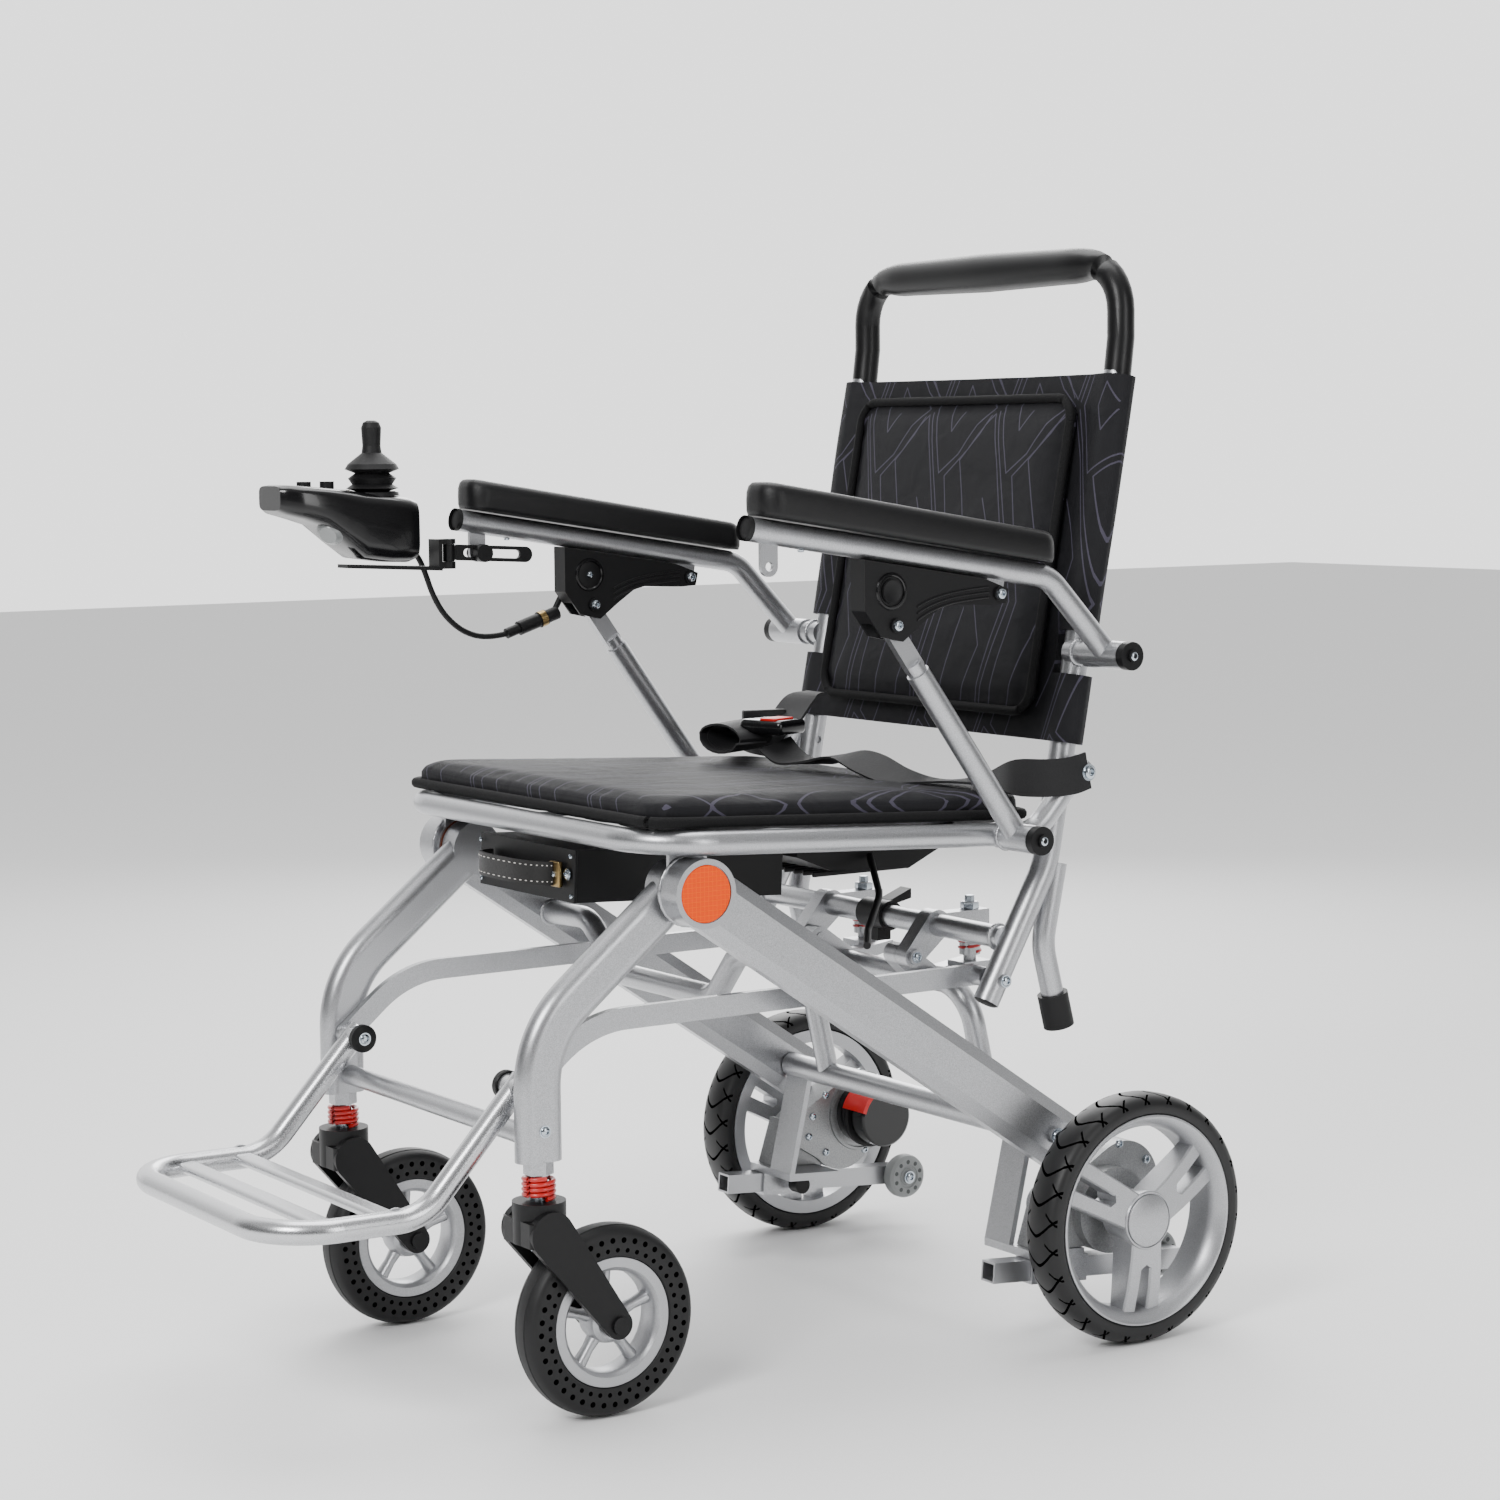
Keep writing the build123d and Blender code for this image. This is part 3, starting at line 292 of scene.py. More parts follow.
def node(tree, kind, **values):
    made = tree.nodes.new(kind)
    for key, value in values.items():
        setattr(made, key, value)
    return made


def maths(tree, operation, *inputs):
    made = node(tree, "ShaderNodeMath", operation=operation)
    for i, value in enumerate(inputs):
        if isinstance(value, (int, float)):
            made.inputs[i].default_value = value
        else:
            tree.links.new(value, made.inputs[i])
    return made.outputs[0]


def coordinates(tree):
    """The piece's own coordinates in metres, whole and as x, y, z."""
    source = node(tree, "ShaderNodeTexCoord").outputs["Object"]
    split = node(tree, "ShaderNodeSeparateXYZ")
    tree.links.new(source, split.inputs[0])
    return source, split.outputs[0], split.outputs[1], split.outputs[2]


def rough_surface(made, scale, height, detail=3.0, spread=0.0, colour_spread=0.0):
    """Fine relief from noise, with a little change of roughness and colour."""
    tree = made.node_tree
    shader = tree.nodes["Principled BSDF"]
    source = coordinates(tree)[0]
    cloud = node(tree, "ShaderNodeTexNoise")
    cloud.inputs["Scale"].default_value = scale
    cloud.inputs["Detail"].default_value = detail
    tree.links.new(source, cloud.inputs["Vector"])
    bump = node(tree, "ShaderNodeBump")
    bump.inputs["Strength"].default_value = 0.5
    bump.inputs["Distance"].default_value = height
    tree.links.new(cloud.outputs["Fac"], bump.inputs["Height"])
    tree.links.new(bump.outputs["Normal"], shader.inputs["Normal"])
    if spread:
        base = shader.inputs["Roughness"].default_value
        tree.links.new(maths(tree, "MULTIPLY_ADD", cloud.outputs["Fac"], spread, base - spread / 2),
                       shader.inputs["Roughness"])
    if colour_spread:
        colour = shader.inputs["Base Color"].default_value[:3]
        ramp = node(tree, "ShaderNodeValToRGB")
        ramp.color_ramp.elements[0].position = 0.35
        ramp.color_ramp.elements[1].position = 0.65
        ramp.color_ramp.elements[0].color = (*[c * (1 - colour_spread) for c in colour], 1)
        ramp.color_ramp.elements[1].color = (*[min(c * (1 + colour_spread), 1) for c in colour], 1)
        tree.links.new(cloud.outputs["Fac"], ramp.inputs["Fac"])
        tree.links.new(ramp.outputs["Color"], shader.inputs["Base Color"])
    return made


def mask_relief(made, mask, colour, depth):
    """Colours a mask and sinks it by depth metres. For the tyre holes and grooves the colour is
    painted shade, and the mask also takes the reflection away there.
    """
    tree = made.node_tree
    shader = tree.nodes["Principled BSDF"]
    mix = node(tree, "ShaderNodeMix", data_type="RGBA")
    mix.inputs[6].default_value = shader.inputs["Base Color"].default_value
    mix.inputs[7].default_value = (*colour, 1)
    tree.links.new(mask, mix.inputs[0])
    tree.links.new(mix.outputs[2], shader.inputs["Base Color"])
    shine = shader.inputs["Specular IOR Level"].default_value
    tree.links.new(maths(tree, "MULTIPLY_ADD", mask, -shine, shine),
                   shader.inputs["Specular IOR Level"])
    bump = node(tree, "ShaderNodeBump", invert=True)
    bump.inputs["Distance"].default_value = depth
    bump.inputs["Strength"].default_value = 0.8
    tree.links.new(mask, bump.inputs["Height"])
    if shader.inputs["Normal"].links:
        tree.links.new(shader.inputs["Normal"].links[0].from_socket, bump.inputs["Normal"])
    tree.links.new(bump.outputs["Normal"], shader.inputs["Normal"])


SILVER = rough_surface(material("silver_paint", (0.45, 0.455, 0.47), 0.9, 0.33, 0.1),
                       1500, 0.00014, 2, 0.22, 0.22)
BRIGHT = rough_surface(material("bright_aluminium", (0.56, 0.565, 0.58), 0.95, 0.27), 900, 0.00004,
                       2, 0.1)
ZINC = rough_surface(material("zinc", (0.50, 0.55, 0.60), 1.0, 0.18), 500, 0.00004, 2, 0.1)
RIM = rough_surface(material("rim_silver", (0.44, 0.445, 0.46), 0.8, 0.38), 1500, 0.0001, 2,
                    0.15, 0.16)
CAST = rough_surface(material("cast_aluminium", (0.34, 0.345, 0.35), 0.85, 0.45), 700, 0.0002, 3,
                     0.15, 0.16)
RED = rough_surface(material("red_spring", (0.50, 0.008, 0.008), 0.0, 0.28, 0.4), 400, 0.00003)
RED_PLASTIC = rough_surface(material("red_plastic", (0.62, 0.006, 0.006), 0, 0.35), 400, 0.00003)
BLACK_PAINT = rough_surface(material("black_paint", (0.005, 0.005, 0.0055), 0, 0.36, shine=0.32),
                            900, 0.00006, 2, 0.1)
PLASTIC = rough_surface(material("black_plastic", (0.004, 0.004, 0.0045), 0, 0.44, shine=0.28),
                        900, 0.00015, 2, 0.1)
GLOSS = rough_surface(material("gloss_black", (0.004, 0.004, 0.0045), 0, 0.2, 0.2, shine=0.4),
                      600, 0.00003)
RUBBER = rough_surface(material("black_rubber", (0.006, 0.006, 0.0065), 0, 0.55, shine=0.3), 800,
                       0.0001)
VINYL = rough_surface(material("pad_vinyl", (0.0035, 0.0035, 0.004), 0, 0.4, shine=0.32),
                      1100, 0.0005, 4, 0.15)
WEBBING = rough_surface(material("belt_web", (0.007, 0.007, 0.008), 0, 0.6, sheen=0.05, shine=0.3),
                        700, 0.0004, 2, 0.2)
LEATHER = rough_surface(material("leather_black", (0.008, 0.0075, 0.0075), 0, 0.45, shine=0.4), 500,
                        0.0003, 4, 0.2)
BRASS = rough_surface(material("brass_clip", (0.33, 0.23, 0.10), 1.0, 0.32), 300, 0.00005, 2, 0.15)
THREAD = rough_surface(material("thread", (0.62, 0.60, 0.57), 0, 0.7), 2000, 0.0001)
GREY = rough_surface(material("grey_plastic", (0.22, 0.23, 0.23), 0, 0.3, 0.2), 400, 0.00003)
BUSH = rough_surface(material("brown_bush", (0.11, 0.03, 0.012), 0, 0.5), 400, 0.00005)
PIPING = rough_surface(material("mesh_binding", (0.003, 0.003, 0.0035), 0, 0.8, shine=0.25), 700,
                       0.0016, 2, 0.2)


# one tile of the printed pattern: lines through points in millimetres
TILE_W, TILE_H = 0.110, 0.190
PRINT_LINES = (
    ((0, 183), (16, 138), (60, 0)),
    ((5, 186), (22, 135), (68, 0)),
    ((11, 190), (34, 125), (62, 144), (84, 173), (107, 190)),
    ((79, 0), (44, 122), (76, 148), (98, 173), (110, 184)),
    ((110, 8), (66, 138), (92, 164), (104, 182)),
    ((36, 190), (44, 167), (58, 186)),
    ((3, 100), (30, 44), (14, 0)),
)


def woven(name, up_axis, slide):
    """Black nylon: fine weave, soft creases and faint printed zigzag lines."""
    made = material(name, (0.0085, 0.0085, 0.0105), 0, 0.6, sheen=0.0, shine=0.2)
    tree = made.node_tree
    shader = tree.nodes["Principled BSDF"]
    source, x, y, z = coordinates(tree)
    along = z if up_axis == "z" else y
    threads = maths(tree, "ADD", maths(tree, "SINE", maths(tree, "MULTIPLY", x, 9000)),
                    maths(tree, "SINE", maths(tree, "MULTIPLY", along, 9000)))
    cloud = node(tree, "ShaderNodeTexNoise")
    cloud.inputs["Scale"].default_value = 24
    cloud.inputs["Distortion"].default_value = 0.6
    tree.links.new(source, cloud.inputs["Vector"])
    bump = node(tree, "ShaderNodeBump")
    bump.inputs["Distance"].default_value = 0.00006
    tree.links.new(threads, bump.inputs["Height"])
    folds = node(tree, "ShaderNodeBump")
    folds.inputs["Distance"].default_value = 0.006
    folds.inputs["Strength"].default_value = 0.6
    tree.links.new(cloud.outputs["Fac"], folds.inputs["Height"])
    tree.links.new(bump.outputs["Normal"], folds.inputs["Normal"])
    tree.links.new(folds.outputs["Normal"], shader.inputs["Normal"])
    wrapped = maths(tree, "ADD", x, maths(tree, "MULTIPLY", z, 0.6 if up_axis == "y" else 0.0))
    across = maths(tree, "FLOORED_MODULO", maths(tree, "ADD", wrapped, slide), TILE_W)
    rise = maths(tree, "PINGPONG", maths(tree, "ADD", along, slide), TILE_H)
    spot = node(tree, "ShaderNodeCombineXYZ")
    tree.links.new(across, spot.inputs[0])
    tree.links.new(rise, spot.inputs[1])
    nearest = None
    for line in PRINT_LINES:
        for (ax, ay), (bx, by) in zip(line[:-1], line[1:]):
            start = Vector((ax / 1000, ay / 1000, 0))
            run = Vector((bx / 1000, by / 1000, 0)) - start
            away = node(tree, "ShaderNodeVectorMath", operation="SUBTRACT")
            tree.links.new(spot.outputs[0], away.inputs[0])
            away.inputs[1].default_value = start
            dot = node(tree, "ShaderNodeVectorMath", operation="DOT_PRODUCT")
            tree.links.new(away.outputs[0], dot.inputs[0])
            dot.inputs[1].default_value = run / run.length_squared
            clamp = node(tree, "ShaderNodeClamp")
            tree.links.new(dot.outputs["Value"], clamp.inputs[0])
            foot = node(tree, "ShaderNodeVectorMath", operation="SCALE")
            foot.inputs[0].default_value = run
            tree.links.new(clamp.outputs[0], foot.inputs["Scale"])
            gap = node(tree, "ShaderNodeVectorMath", operation="DISTANCE")
            tree.links.new(away.outputs[0], gap.inputs[0])
            tree.links.new(foot.outputs[0], gap.inputs[1])
            distance = gap.outputs["Value"]
            nearest = distance if nearest is None else maths(tree, "MINIMUM", nearest, distance)
    mask = maths(tree, "LESS_THAN", nearest, 0.00075)
    mix = node(tree, "ShaderNodeMix", data_type="RGBA")
    mix.inputs[6].default_value = (0.0085, 0.0085, 0.0105, 1)
    mix.inputs[7].default_value = (0.060, 0.055, 0.080, 1)
    tree.links.new(mask, mix.inputs[0])
    tree.links.new(mix.outputs[2], shader.inputs["Base Color"])
    return made


SEAT_FABRIC = woven("seat_fabric", "y", 0.03)
BACK_FABRIC = woven("back_fabric", "z", 0.05)


def polar(tree, y0, z0):
    """Radius and angle about an axle through y0, z0 (metres)."""
    source, x, y, z = coordinates(tree)
    dy = maths(tree, "SUBTRACT", y, y0)
    dz = maths(tree, "SUBTRACT", z, z0)
    radius = maths(tree, "SQRT", maths(tree, "ADD", maths(tree, "MULTIPLY", dy, dy),
                                       maths(tree, "MULTIPLY", dz, dz)))
    return x, radius, maths(tree, "ARCTAN2", dz, dy)


def tyre_with_holes(name, y0, z0, rows, count, hole, colour=(0.008, 0.008, 0.0085),
                    painted_hole_shade=(0.0005, 0.0005, 0.0005)):
    """Solid rubber whose sides show rows of small round holes, painted dark as painted shade inside
    them and sunk by bump.
    """
    made = material(name, colour, 0, 0.5, shine=0.35)
    tree = made.node_tree
    x, radius, angle = polar(tree, y0, z0)
    total = None
    for row, row_radius in enumerate(rows):
        share = maths(tree, "MULTIPLY_ADD", angle, count / (2 * pi), 0.5 * row)
        cell = maths(tree, "SUBTRACT", maths(tree, "FLOORED_MODULO", share, 1.0), 0.5)
        along = maths(tree, "MULTIPLY", cell, 2 * pi * row_radius / count)
        away = maths(tree, "SUBTRACT", radius, row_radius)
        reach = maths(tree, "SQRT", maths(tree, "ADD", maths(tree, "MULTIPLY", along, along),
                                          maths(tree, "MULTIPLY", away, away)))
        mask = maths(tree, "LESS_THAN", reach, hole * (1 - 0.18 * (1 - row)))
        total = mask if total is None else maths(tree, "MAXIMUM", total, mask)
    # Painted shade: the hole mask gets the dark colour and no reflection.
    mask_relief(made, total, painted_hole_shade, 0.003)
    return made


def tread_rubber(name, y0, z0, centre_x):
    """Rubber with curved slanting grooves over the tread, painted near-black as painted shade in
    the grooves and sunk by bump.
    """
    made = material(name, (0.0085, 0.0085, 0.009), 0, 0.46, shine=0.4)
    tree = made.node_tree
    x, radius, angle = polar(tree, y0, z0)
    off = maths(tree, "ABSOLUTE", maths(tree, "SUBTRACT", x, centre_x))
    steep = maths(tree, "POWER", maths(tree, "MULTIPLY", off, 45), 1.5)
    lean = maths(tree, "MULTIPLY", steep, 0.16)
    turn_share = maths(tree, "MULTIPLY", maths(tree, "ADD", angle, lean), 26 / (2 * pi))
    groove = maths(tree, "LESS_THAN", maths(tree, "FLOORED_MODULO", turn_share, 1.0), 0.11)
    second = maths(tree, "MULTIPLY", maths(tree, "SUBTRACT", angle, lean), 26 / (2 * pi))
    short = maths(tree, "MULTIPLY",
                  maths(tree, "LESS_THAN", maths(tree, "FLOORED_MODULO", second, 1.0), 0.09),
                  maths(tree, "GREATER_THAN", off, 0.011))
    outer = maths(tree, "GREATER_THAN", radius, 0.1125)
    mask = maths(tree, "MULTIPLY", maths(tree, "MAXIMUM", groove, short), outer)
    # Painted shade: the grooves get a near-black colour and no reflection.
    mask_relief(made, mask, (0.0006, 0.0006, 0.0006), 0.003)
    return made


def honeycomb_orange():
    made = material("orange_reflector_painted_glow", (0.80, 0.055, 0.0), 0, 0.5, shine=0.1)
    tree = made.node_tree
    source = coordinates(tree)[0]
    cells = node(tree, "ShaderNodeTexVoronoi", feature="DISTANCE_TO_EDGE")
    cells.inputs["Scale"].default_value = 230
    cells.inputs["Randomness"].default_value = 0.0
    tree.links.new(source, cells.inputs["Vector"])
    mask = maths(tree, "LESS_THAN", cells.outputs["Distance"], 0.06)
    mask_relief(made, mask, (0.90, 0.12, 0.004), 0.0002)
    shader = tree.nodes["Principled BSDF"]
    # Painted glow: a faint orange emission stands in for light the reflector sends back; it is no
    # lamp.
    shader.inputs["Emission Color"].default_value = (1.0, 0.09, 0.0, 1)
    shader.inputs["Emission Strength"].default_value = 0.12
    return made


ORANGE = honeycomb_orange()
SLOT_MATERIAL = {
    "silver_paint": SILVER, "bright_aluminium": BRIGHT, "zinc": ZINC, "red_spring": RED,
    "black_paint": BLACK_PAINT, "black_plastic": PLASTIC, "gloss_black": GLOSS,
    "rim_silver": RIM, "tyre_black": RUBBER, "black_rubber": RUBBER, "cushion_fabric": SEAT_FABRIC,
    "cover_fabric": BACK_FABRIC, "pad_vinyl": VINYL, "belt_web": WEBBING, "leather_black": LEATHER,
    "red_plastic": RED_PLASTIC, "grey_plastic": GREY, "cast_aluminium": CAST,
}
for part in frame["record"]["subparts"]:
    piece = NODES[part["node"]]
    piece.data.materials.clear()
    piece.data.materials.append(SLOT_MATERIAL[part["material_slot"]])

# Joystick cable
CABLE_X = -288
cable_points = [mm(CABLE_X, -486.5, 769), mm(CABLE_X, -474, 767), mm(CABLE_X, -462, 757),
                mm(CABLE_X, -454, 740), mm(CABLE_X, -446, 717), mm(CABLE_X, -432, 694),
                mm(CABLE_X, -409, 676), mm(CABLE_X, -382, 670), mm(CABLE_X, -361, 673.5)]
cable_data = bpy.data.curves.new("joystick_flex", "CURVE")
cable_data.dimensions = "3D"
spline = cable_data.splines.new("NURBS")
spline.points.add(len(cable_points) - 1)
for spot, point in zip(spline.points, cable_points):
    spot.co = (*point, 1)
spline.order_u = 3
spline.use_endpoint_u = True
cable_data.bevel_depth = 0.003
cable_data.bevel_resolution = 5
cable_data.use_fill_caps = True
joystick_flex = link("joystick_flex", cable_data)
cable_data.materials.append(RUBBER)
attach(joystick_flex, "controller")
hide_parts("joystick_cable")

# Seat cushion
SEAT_TILT = 0.0517


def on_seat(x, y, h):
    """A point over the seat rails: x and y in millimetres from the cushion's middle."""
    return mm(x, y - 296, 529 - (y + 214) * SEAT_TILT + h)


cushion = soft_slab(
    "seat_cushion_soft", 229, 213, 24,
    [(0, 0.3), (-0.5, 3), (0.5, 9), (3, 11), (0.5, 13), (-1, 17), (1.5, 21.0), (7, 23.4),
     (22, 24.5), (48, 25), (90, 25.5), (140, 26), (180, 26.2)],
    on_seat, "seat", SEAT_FABRIC, 1.6)
inflate(cushion, 0.0055, 3.0, 0.005)
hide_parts("seat_cushion")
edge = [on_seat(x, y, 6.0) for x, y in rounded_rectangle(228, 212, 20)]
tube_piece("seat_binding", [*edge, edge[0]], 0.0052, "seat", PIPING, 10)

# Backrest
LEAN = radians(79.29)


def on_back(x, up_mm, out):
    """A point over the backrest: up the tubes from the seat pivot, and out to the front."""
    return mm(x, -33 + up_mm * cos(LEAN) - out * sin(LEAN),
              551 + up_mm * sin(LEAN) + out * cos(LEAN))


def cover_point(x, up_mm, front):
    """Front or back skin of the cover: it wraps the tubes at the sides and sags a little."""
    edge_share = min(1.0, max(0.0, (abs(x) - 186) / 23))
    sag = 3.5 * (1 - (x / 200) ** 2) if abs(x) < 200 else 0
    puff = 15.4 if front else -15.4
    flat = (11.5 - sag) if front else (9.0 - sag)
    out = flat * (1 - edge_share) + puff * edge_share
    if abs(x) > 209:
        out = puff * sqrt(max(0.0, 1 - ((abs(x) - 209) / 22.5) ** 2))
    ripple = 1.3 * noise.noise(Vector((x * 0.02, up_mm * 0.011, 5.0 if front else 8.0)))
    return on_back(x, up_mm, out + ripple)


def cover_strip(x_low, x_high, up_low, up_high, verts, faces):
    """A closed strip of the cover between two widths and two heights."""
    across = max(2, int((x_high - x_low) / 3))
    upward = max(2, int((up_high - up_low) / 9))
    start = len(verts)
    for front in (True, False):
        for j in range(upward + 1):
            for i in range(across + 1):
                x = x_low + (x_high - x_low) * i / across
                verts.append(cover_point(x, up_low + (up_high - up_low) * j / upward, front))
    row = across + 1
    back_start = start + row * (upward + 1)
    for j in range(upward):
        for i in range(across):
            a = start + j * row + i
            b = back_start + j * row + i
            faces.append((a, a + 1, a + 1 + row, a + row))
            faces.append((b, b + row, b + 1 + row, b + 1))
    for j in range(upward):
        for i in (0, across):
            a, b = start + j * row + i, back_start + j * row + i
            faces.append((a, a + row, b + row, b))
    for i in range(across):
        for j in (0, upward):
            a, b = start + j * row + i, back_start + j * row + i
            faces.append((a, b, b + 1, a + 1))


cover_verts, cover_faces = [], []
cover_strip(-194, 194, 26, 384, cover_verts, cover_faces)
for low, high in ((26, 92), (134, 384)):
    cover_strip(194, 231.4, low, high, cover_verts, cover_faces)
    cover_strip(-231.4, -194, low, high, cover_verts, cover_faces)
cover = mesh_piece("backrest_cover_soft", cover_verts, cover_faces, "back", BACK_FABRIC)
sharpen(cover, 50)
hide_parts("backrest_cover")

back_pad = soft_slab(
    "backrest_pad_soft", 178, 159, 26,
    [(0, 0), (-0.5, 3), (1, 6.5), (8, 8.0), (12, 6.5), (17, 8.5), (26, 11), (44, 13), (80, 14),
     (130, 14.5)],
    lambda x, y, h: on_back(x, y + 205, h + 10.0), "back", BACK_FABRIC, 1.8)
inflate(back_pad, 0.005, 3.0, 0.004)
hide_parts("backrest_pad")
pad_edge = [on_back(x, y + 205, 20.5) for x, y in rounded_rectangle(173.5, 154.5, 23)]
tube_piece("backrest_binding", [*pad_edge, pad_edge[0]], 0.0046, "back", PIPING,
           12)

# Push handle
handle_y = -33 + (932 - 551) / 5.286
corner = [(208.5, handle_y, 925), (208.5, handle_y + 2.5, 945), (208.5, handle_y + 5, 965),
          (208.5, handle_y + 5, 992)]
for k in range(9):
    angle = radians(90 * k / 8)
    corner.append((162.5 + 46 * cos(angle), handle_y + 5, 991 + 46 * sin(angle)))
half = [Vector(p) for p in corner]
bar_points = half + [Vector((x, handle_y + 5, 1037)) for x in (152, 140, 125, 105, 70, 35, 0)]
bar_points = bar_points + [Vector((-p.x, p.y, p.z)) for p in reversed(bar_points[:-1])]
bar_radii = []
for p in bar_points:
    swell = min(1.0, max(0.0, (185 - abs(p.x)) / 45)) if p.z > 1000 else 0.0
    full = 0.0178 + 0.0020 * max(0.0, 1 - abs(p.x) / 130)
    bar_radii.append(0.0134 + (full - 0.0134) * swell * swell * (3 - 2 * swell))
handle = tube_piece("push_handle_grip", [mm(*p) for p in bar_points], bar_radii, "back",
                    BLACK_PAINT, 28)
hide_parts("push_handle")

# Armrest pads
ARM_DROP = 0.1545
for side_name, sign in (("left", 1), ("right", -1)):
    def on_arm(x, y, h, sign=sign):
        lift = 6.0 * max(0.0, -y / 164) ** 2
        return mm(sign * 264 + x, y - 258,
                  793.5 - (y + 164) * ARM_DROP + 10.6 + h * (1 + lift / 60))

    pad = soft_slab(
        f"armrest_pad_soft_{side_name}", 25, 164, 19,
        [(1.5, 0), (0.2, 4), (0, 12), (0.4, 19), (2, 24), (5, 27), (9, 28.2), (14, 28.6),
         (18, 28.7)],
        on_arm, f"arm_{side_name}", VINYL, 0.0)
    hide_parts(f"armrest_pad_{side_name}")

# Rear wheels
AXLE_Z = 121.3
for side_name, sign in (("left", 1), ("right", -1)):
    centre = mm(sign * 282, 0, AXLE_Z)
    body = f"wheel_{side_name}"
    outward = (sign, 0, 0)
    tread = tread_rubber(f"tread_{side_name}", BEHIND, AXLE_Z / 1000, sign * 0.282)
    tyre_profile = [(-17, 101.5), (-21, 104), (-22, 110), (-20.5, 115), (-16, 119), (-9, 120.8),
                    (0, 121.3), (9, 120.8), (16, 119), (20, 115), (21.4, 110), (20.6, 104),
                    (18, 101.2)]
    turned(f"rear_tyre_{side_name}", tyre_profile, centre, outward, body, tread, 120)
    rim_profile = [(-20, 88.5), (-20, 102), (-15, 102.5), (14, 102.5), (20.5, 102), (20.8, 100.2),
                   (19.5, 98), (13, 92.5), (8, 89.5), (4, 88.8), (-20, 88.5)]
    rim = turned(f"rear_rim_{side_name}", rim_profile, centre, outward, body, RIM, 96)
    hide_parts(f"rear_wheel_{side_name}")
    hub_profile = [(-19, 8.2), (-19, 24), (6, 27), (17, 28.5), (20.0, 28.3), (21, 27.6), (21, 26.6),
                   (19.6, 26.3), (19.6, 25.6), (21.6, 25.0), (22.2, 24), (22.6, 0)]
    turned(f"rear_hub_{side_name}", hub_profile, centre, outward, body, RIM, 64)
    across_y = Vector((0, 1, 0))
    across_z = Vector((0, 0, 1))
    for spoke in range(3):
        lean = radians(30 + 120 * spoke)
        radial = across_y * cos(lean) + across_z * sin(lean)
        side_dir = across_y * -sin(lean) + across_z * cos(lean)
        for fork in (-1, 1):
            outline = [(18, 0, 20), (44, 0, 18.5), (48, 5, 18), (68, 6, 15), (91, 7, 10),
                       (91, 23, 10), (68, 21, 15), (44, 19.5, 18.5), (18, 18, 20)]
            verts, faces = [], []
            for level, inset in ((0, 0.0), (1, 0.0), (2, 1.5)):
                for r, w, face in outline:
                    inner = w < 8
                    width = w + (inset if inner and w > 0 else 0 if inner else -inset)
                    depth = -9 if level == 0 else face - 1.8 if level == 1 else face
                    verts.append(centre + Vector(outward) * (depth / 1000) + radial * (r / 1000)
                                 + side_dir * (fork * width / 1000))
            n = len(outline)
            for layer in range(2):
                for k in range(n):
                    a, b = layer * n + k, layer * n + (k + 1) % n
                    faces.append((a, b, b + n, a + n))
            faces.append(tuple(range(n)))
            faces.append(tuple(2 * n + k for k in range(n)))
            spoke_piece = mesh_piece(f"rear_spoke_{side_name}_{spoke}_{'ab'[fork > 0]}", verts,
                                     faces, body, RIM)
            sharpen(spoke_piece, 25)

# Caster wheels and springs
CASTER_Y, CASTER_Z = -542.5, 87.4
# Caster rubber: its holes are painted near-black as painted shade.
holes = tyre_with_holes("caster_rubber", BEHIND + CASTER_Y / 1000, CASTER_Z / 1000,
                        (0.0655, 0.0745), 40, 0.0026)
for side_name, sign in (("left", 1), ("right", -1)):
    centre = mm(sign * 190.5, CASTER_Y, CASTER_Z)
    body = f"caster_{side_name}"
    outward = (sign, 0, 0)
    caster_tyre = turned(
        f"caster_tyre_{side_name}",
        [(-14, 58.5), (-17, 60), (-17.5, 70), (-17.2, 78), (-16, 81.5), (-13.5, 84.2), (-8, 86.4),
         (-7, 85.6), (-6, 86.9), (0, 87.4), (6, 86.9), (7, 85.6), (8, 86.4), (13.5, 84.2),
         (16, 81.5), (17.2, 78), (17.5, 70), (17, 60), (14, 58.5)],
        centre, outward, body, holes, 96)
    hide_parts(f"caster_wheel_{side_name}")
    turned(f"caster_rim_{side_name}",
           [(-15.5, 50), (-15.5, 58.5), (-14, 59.2), (14, 59.2), (15.5, 58.5), (15.5, 50),
            (13, 47), (9, 45.5), (-9, 45.5), (-13, 47), (-15.5, 50)],
           centre, outward, body, RIM, 72)
    turned(f"caster_hub_{side_name}",
           [(-15.2, 5.1), (-15.2, 15), (-12, 19), (-4, 21), (4, 21), (12, 19), (15.2, 15),
            (15.2, 5.1)],
           centre, outward, body, RIM, 48)
    for spoke in range(5):
        angle = radians(90 + 72 * spoke)
        direction = Vector((0, cos(angle), sin(angle)))
        line = [centre + direction * (r / 1000) for r in (16, 30, 50)]
        tube_piece(f"caster_spoke_{side_name}_{spoke}", line, [0.0085, 0.0065, 0.0085], body, RIM,
                   12, 0.75)
    helix = []
    for k in range(4 * 24 + 1):
        angle = 2 * pi * k / 24
        height = 207.6 + (226 - 207.6) * k / (4 * 24)
        helix.append(mm(sign * 190.5 + 13.2 * cos(angle), -607.5 + 13.2 * sin(angle), height))
    coil = tube_piece(f"caster_coil_{side_name}", helix, 0.00225, f"stem_{side_name}", RED,
                      10)
    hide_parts(f"caster_spring_{side_name}")
    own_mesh(coil)


# Bolts
def bolt(name, x, y, z, radius, body, direction=(1, 0, 0), washer=True):
    """A zinc socket-head bolt whose seat is at x, y, z."""
    centre = mm(x, y, z)
    profile = [(0, radius * 1.25), (0.8, radius * 1.25), (0.8, radius)]
    profile += [(radius * rise, radius * reach) for rise, reach in
                ((0.45, 0.92), (0.62, 0.7), (0.66, 0.5), (0.3, 0.46), (0.3, 0))]
    if not washer:
        profile = profile[2:]
        profile[0] = (0, radius)
    return turned(name, profile, centre, direction, body, ZINC, 24)


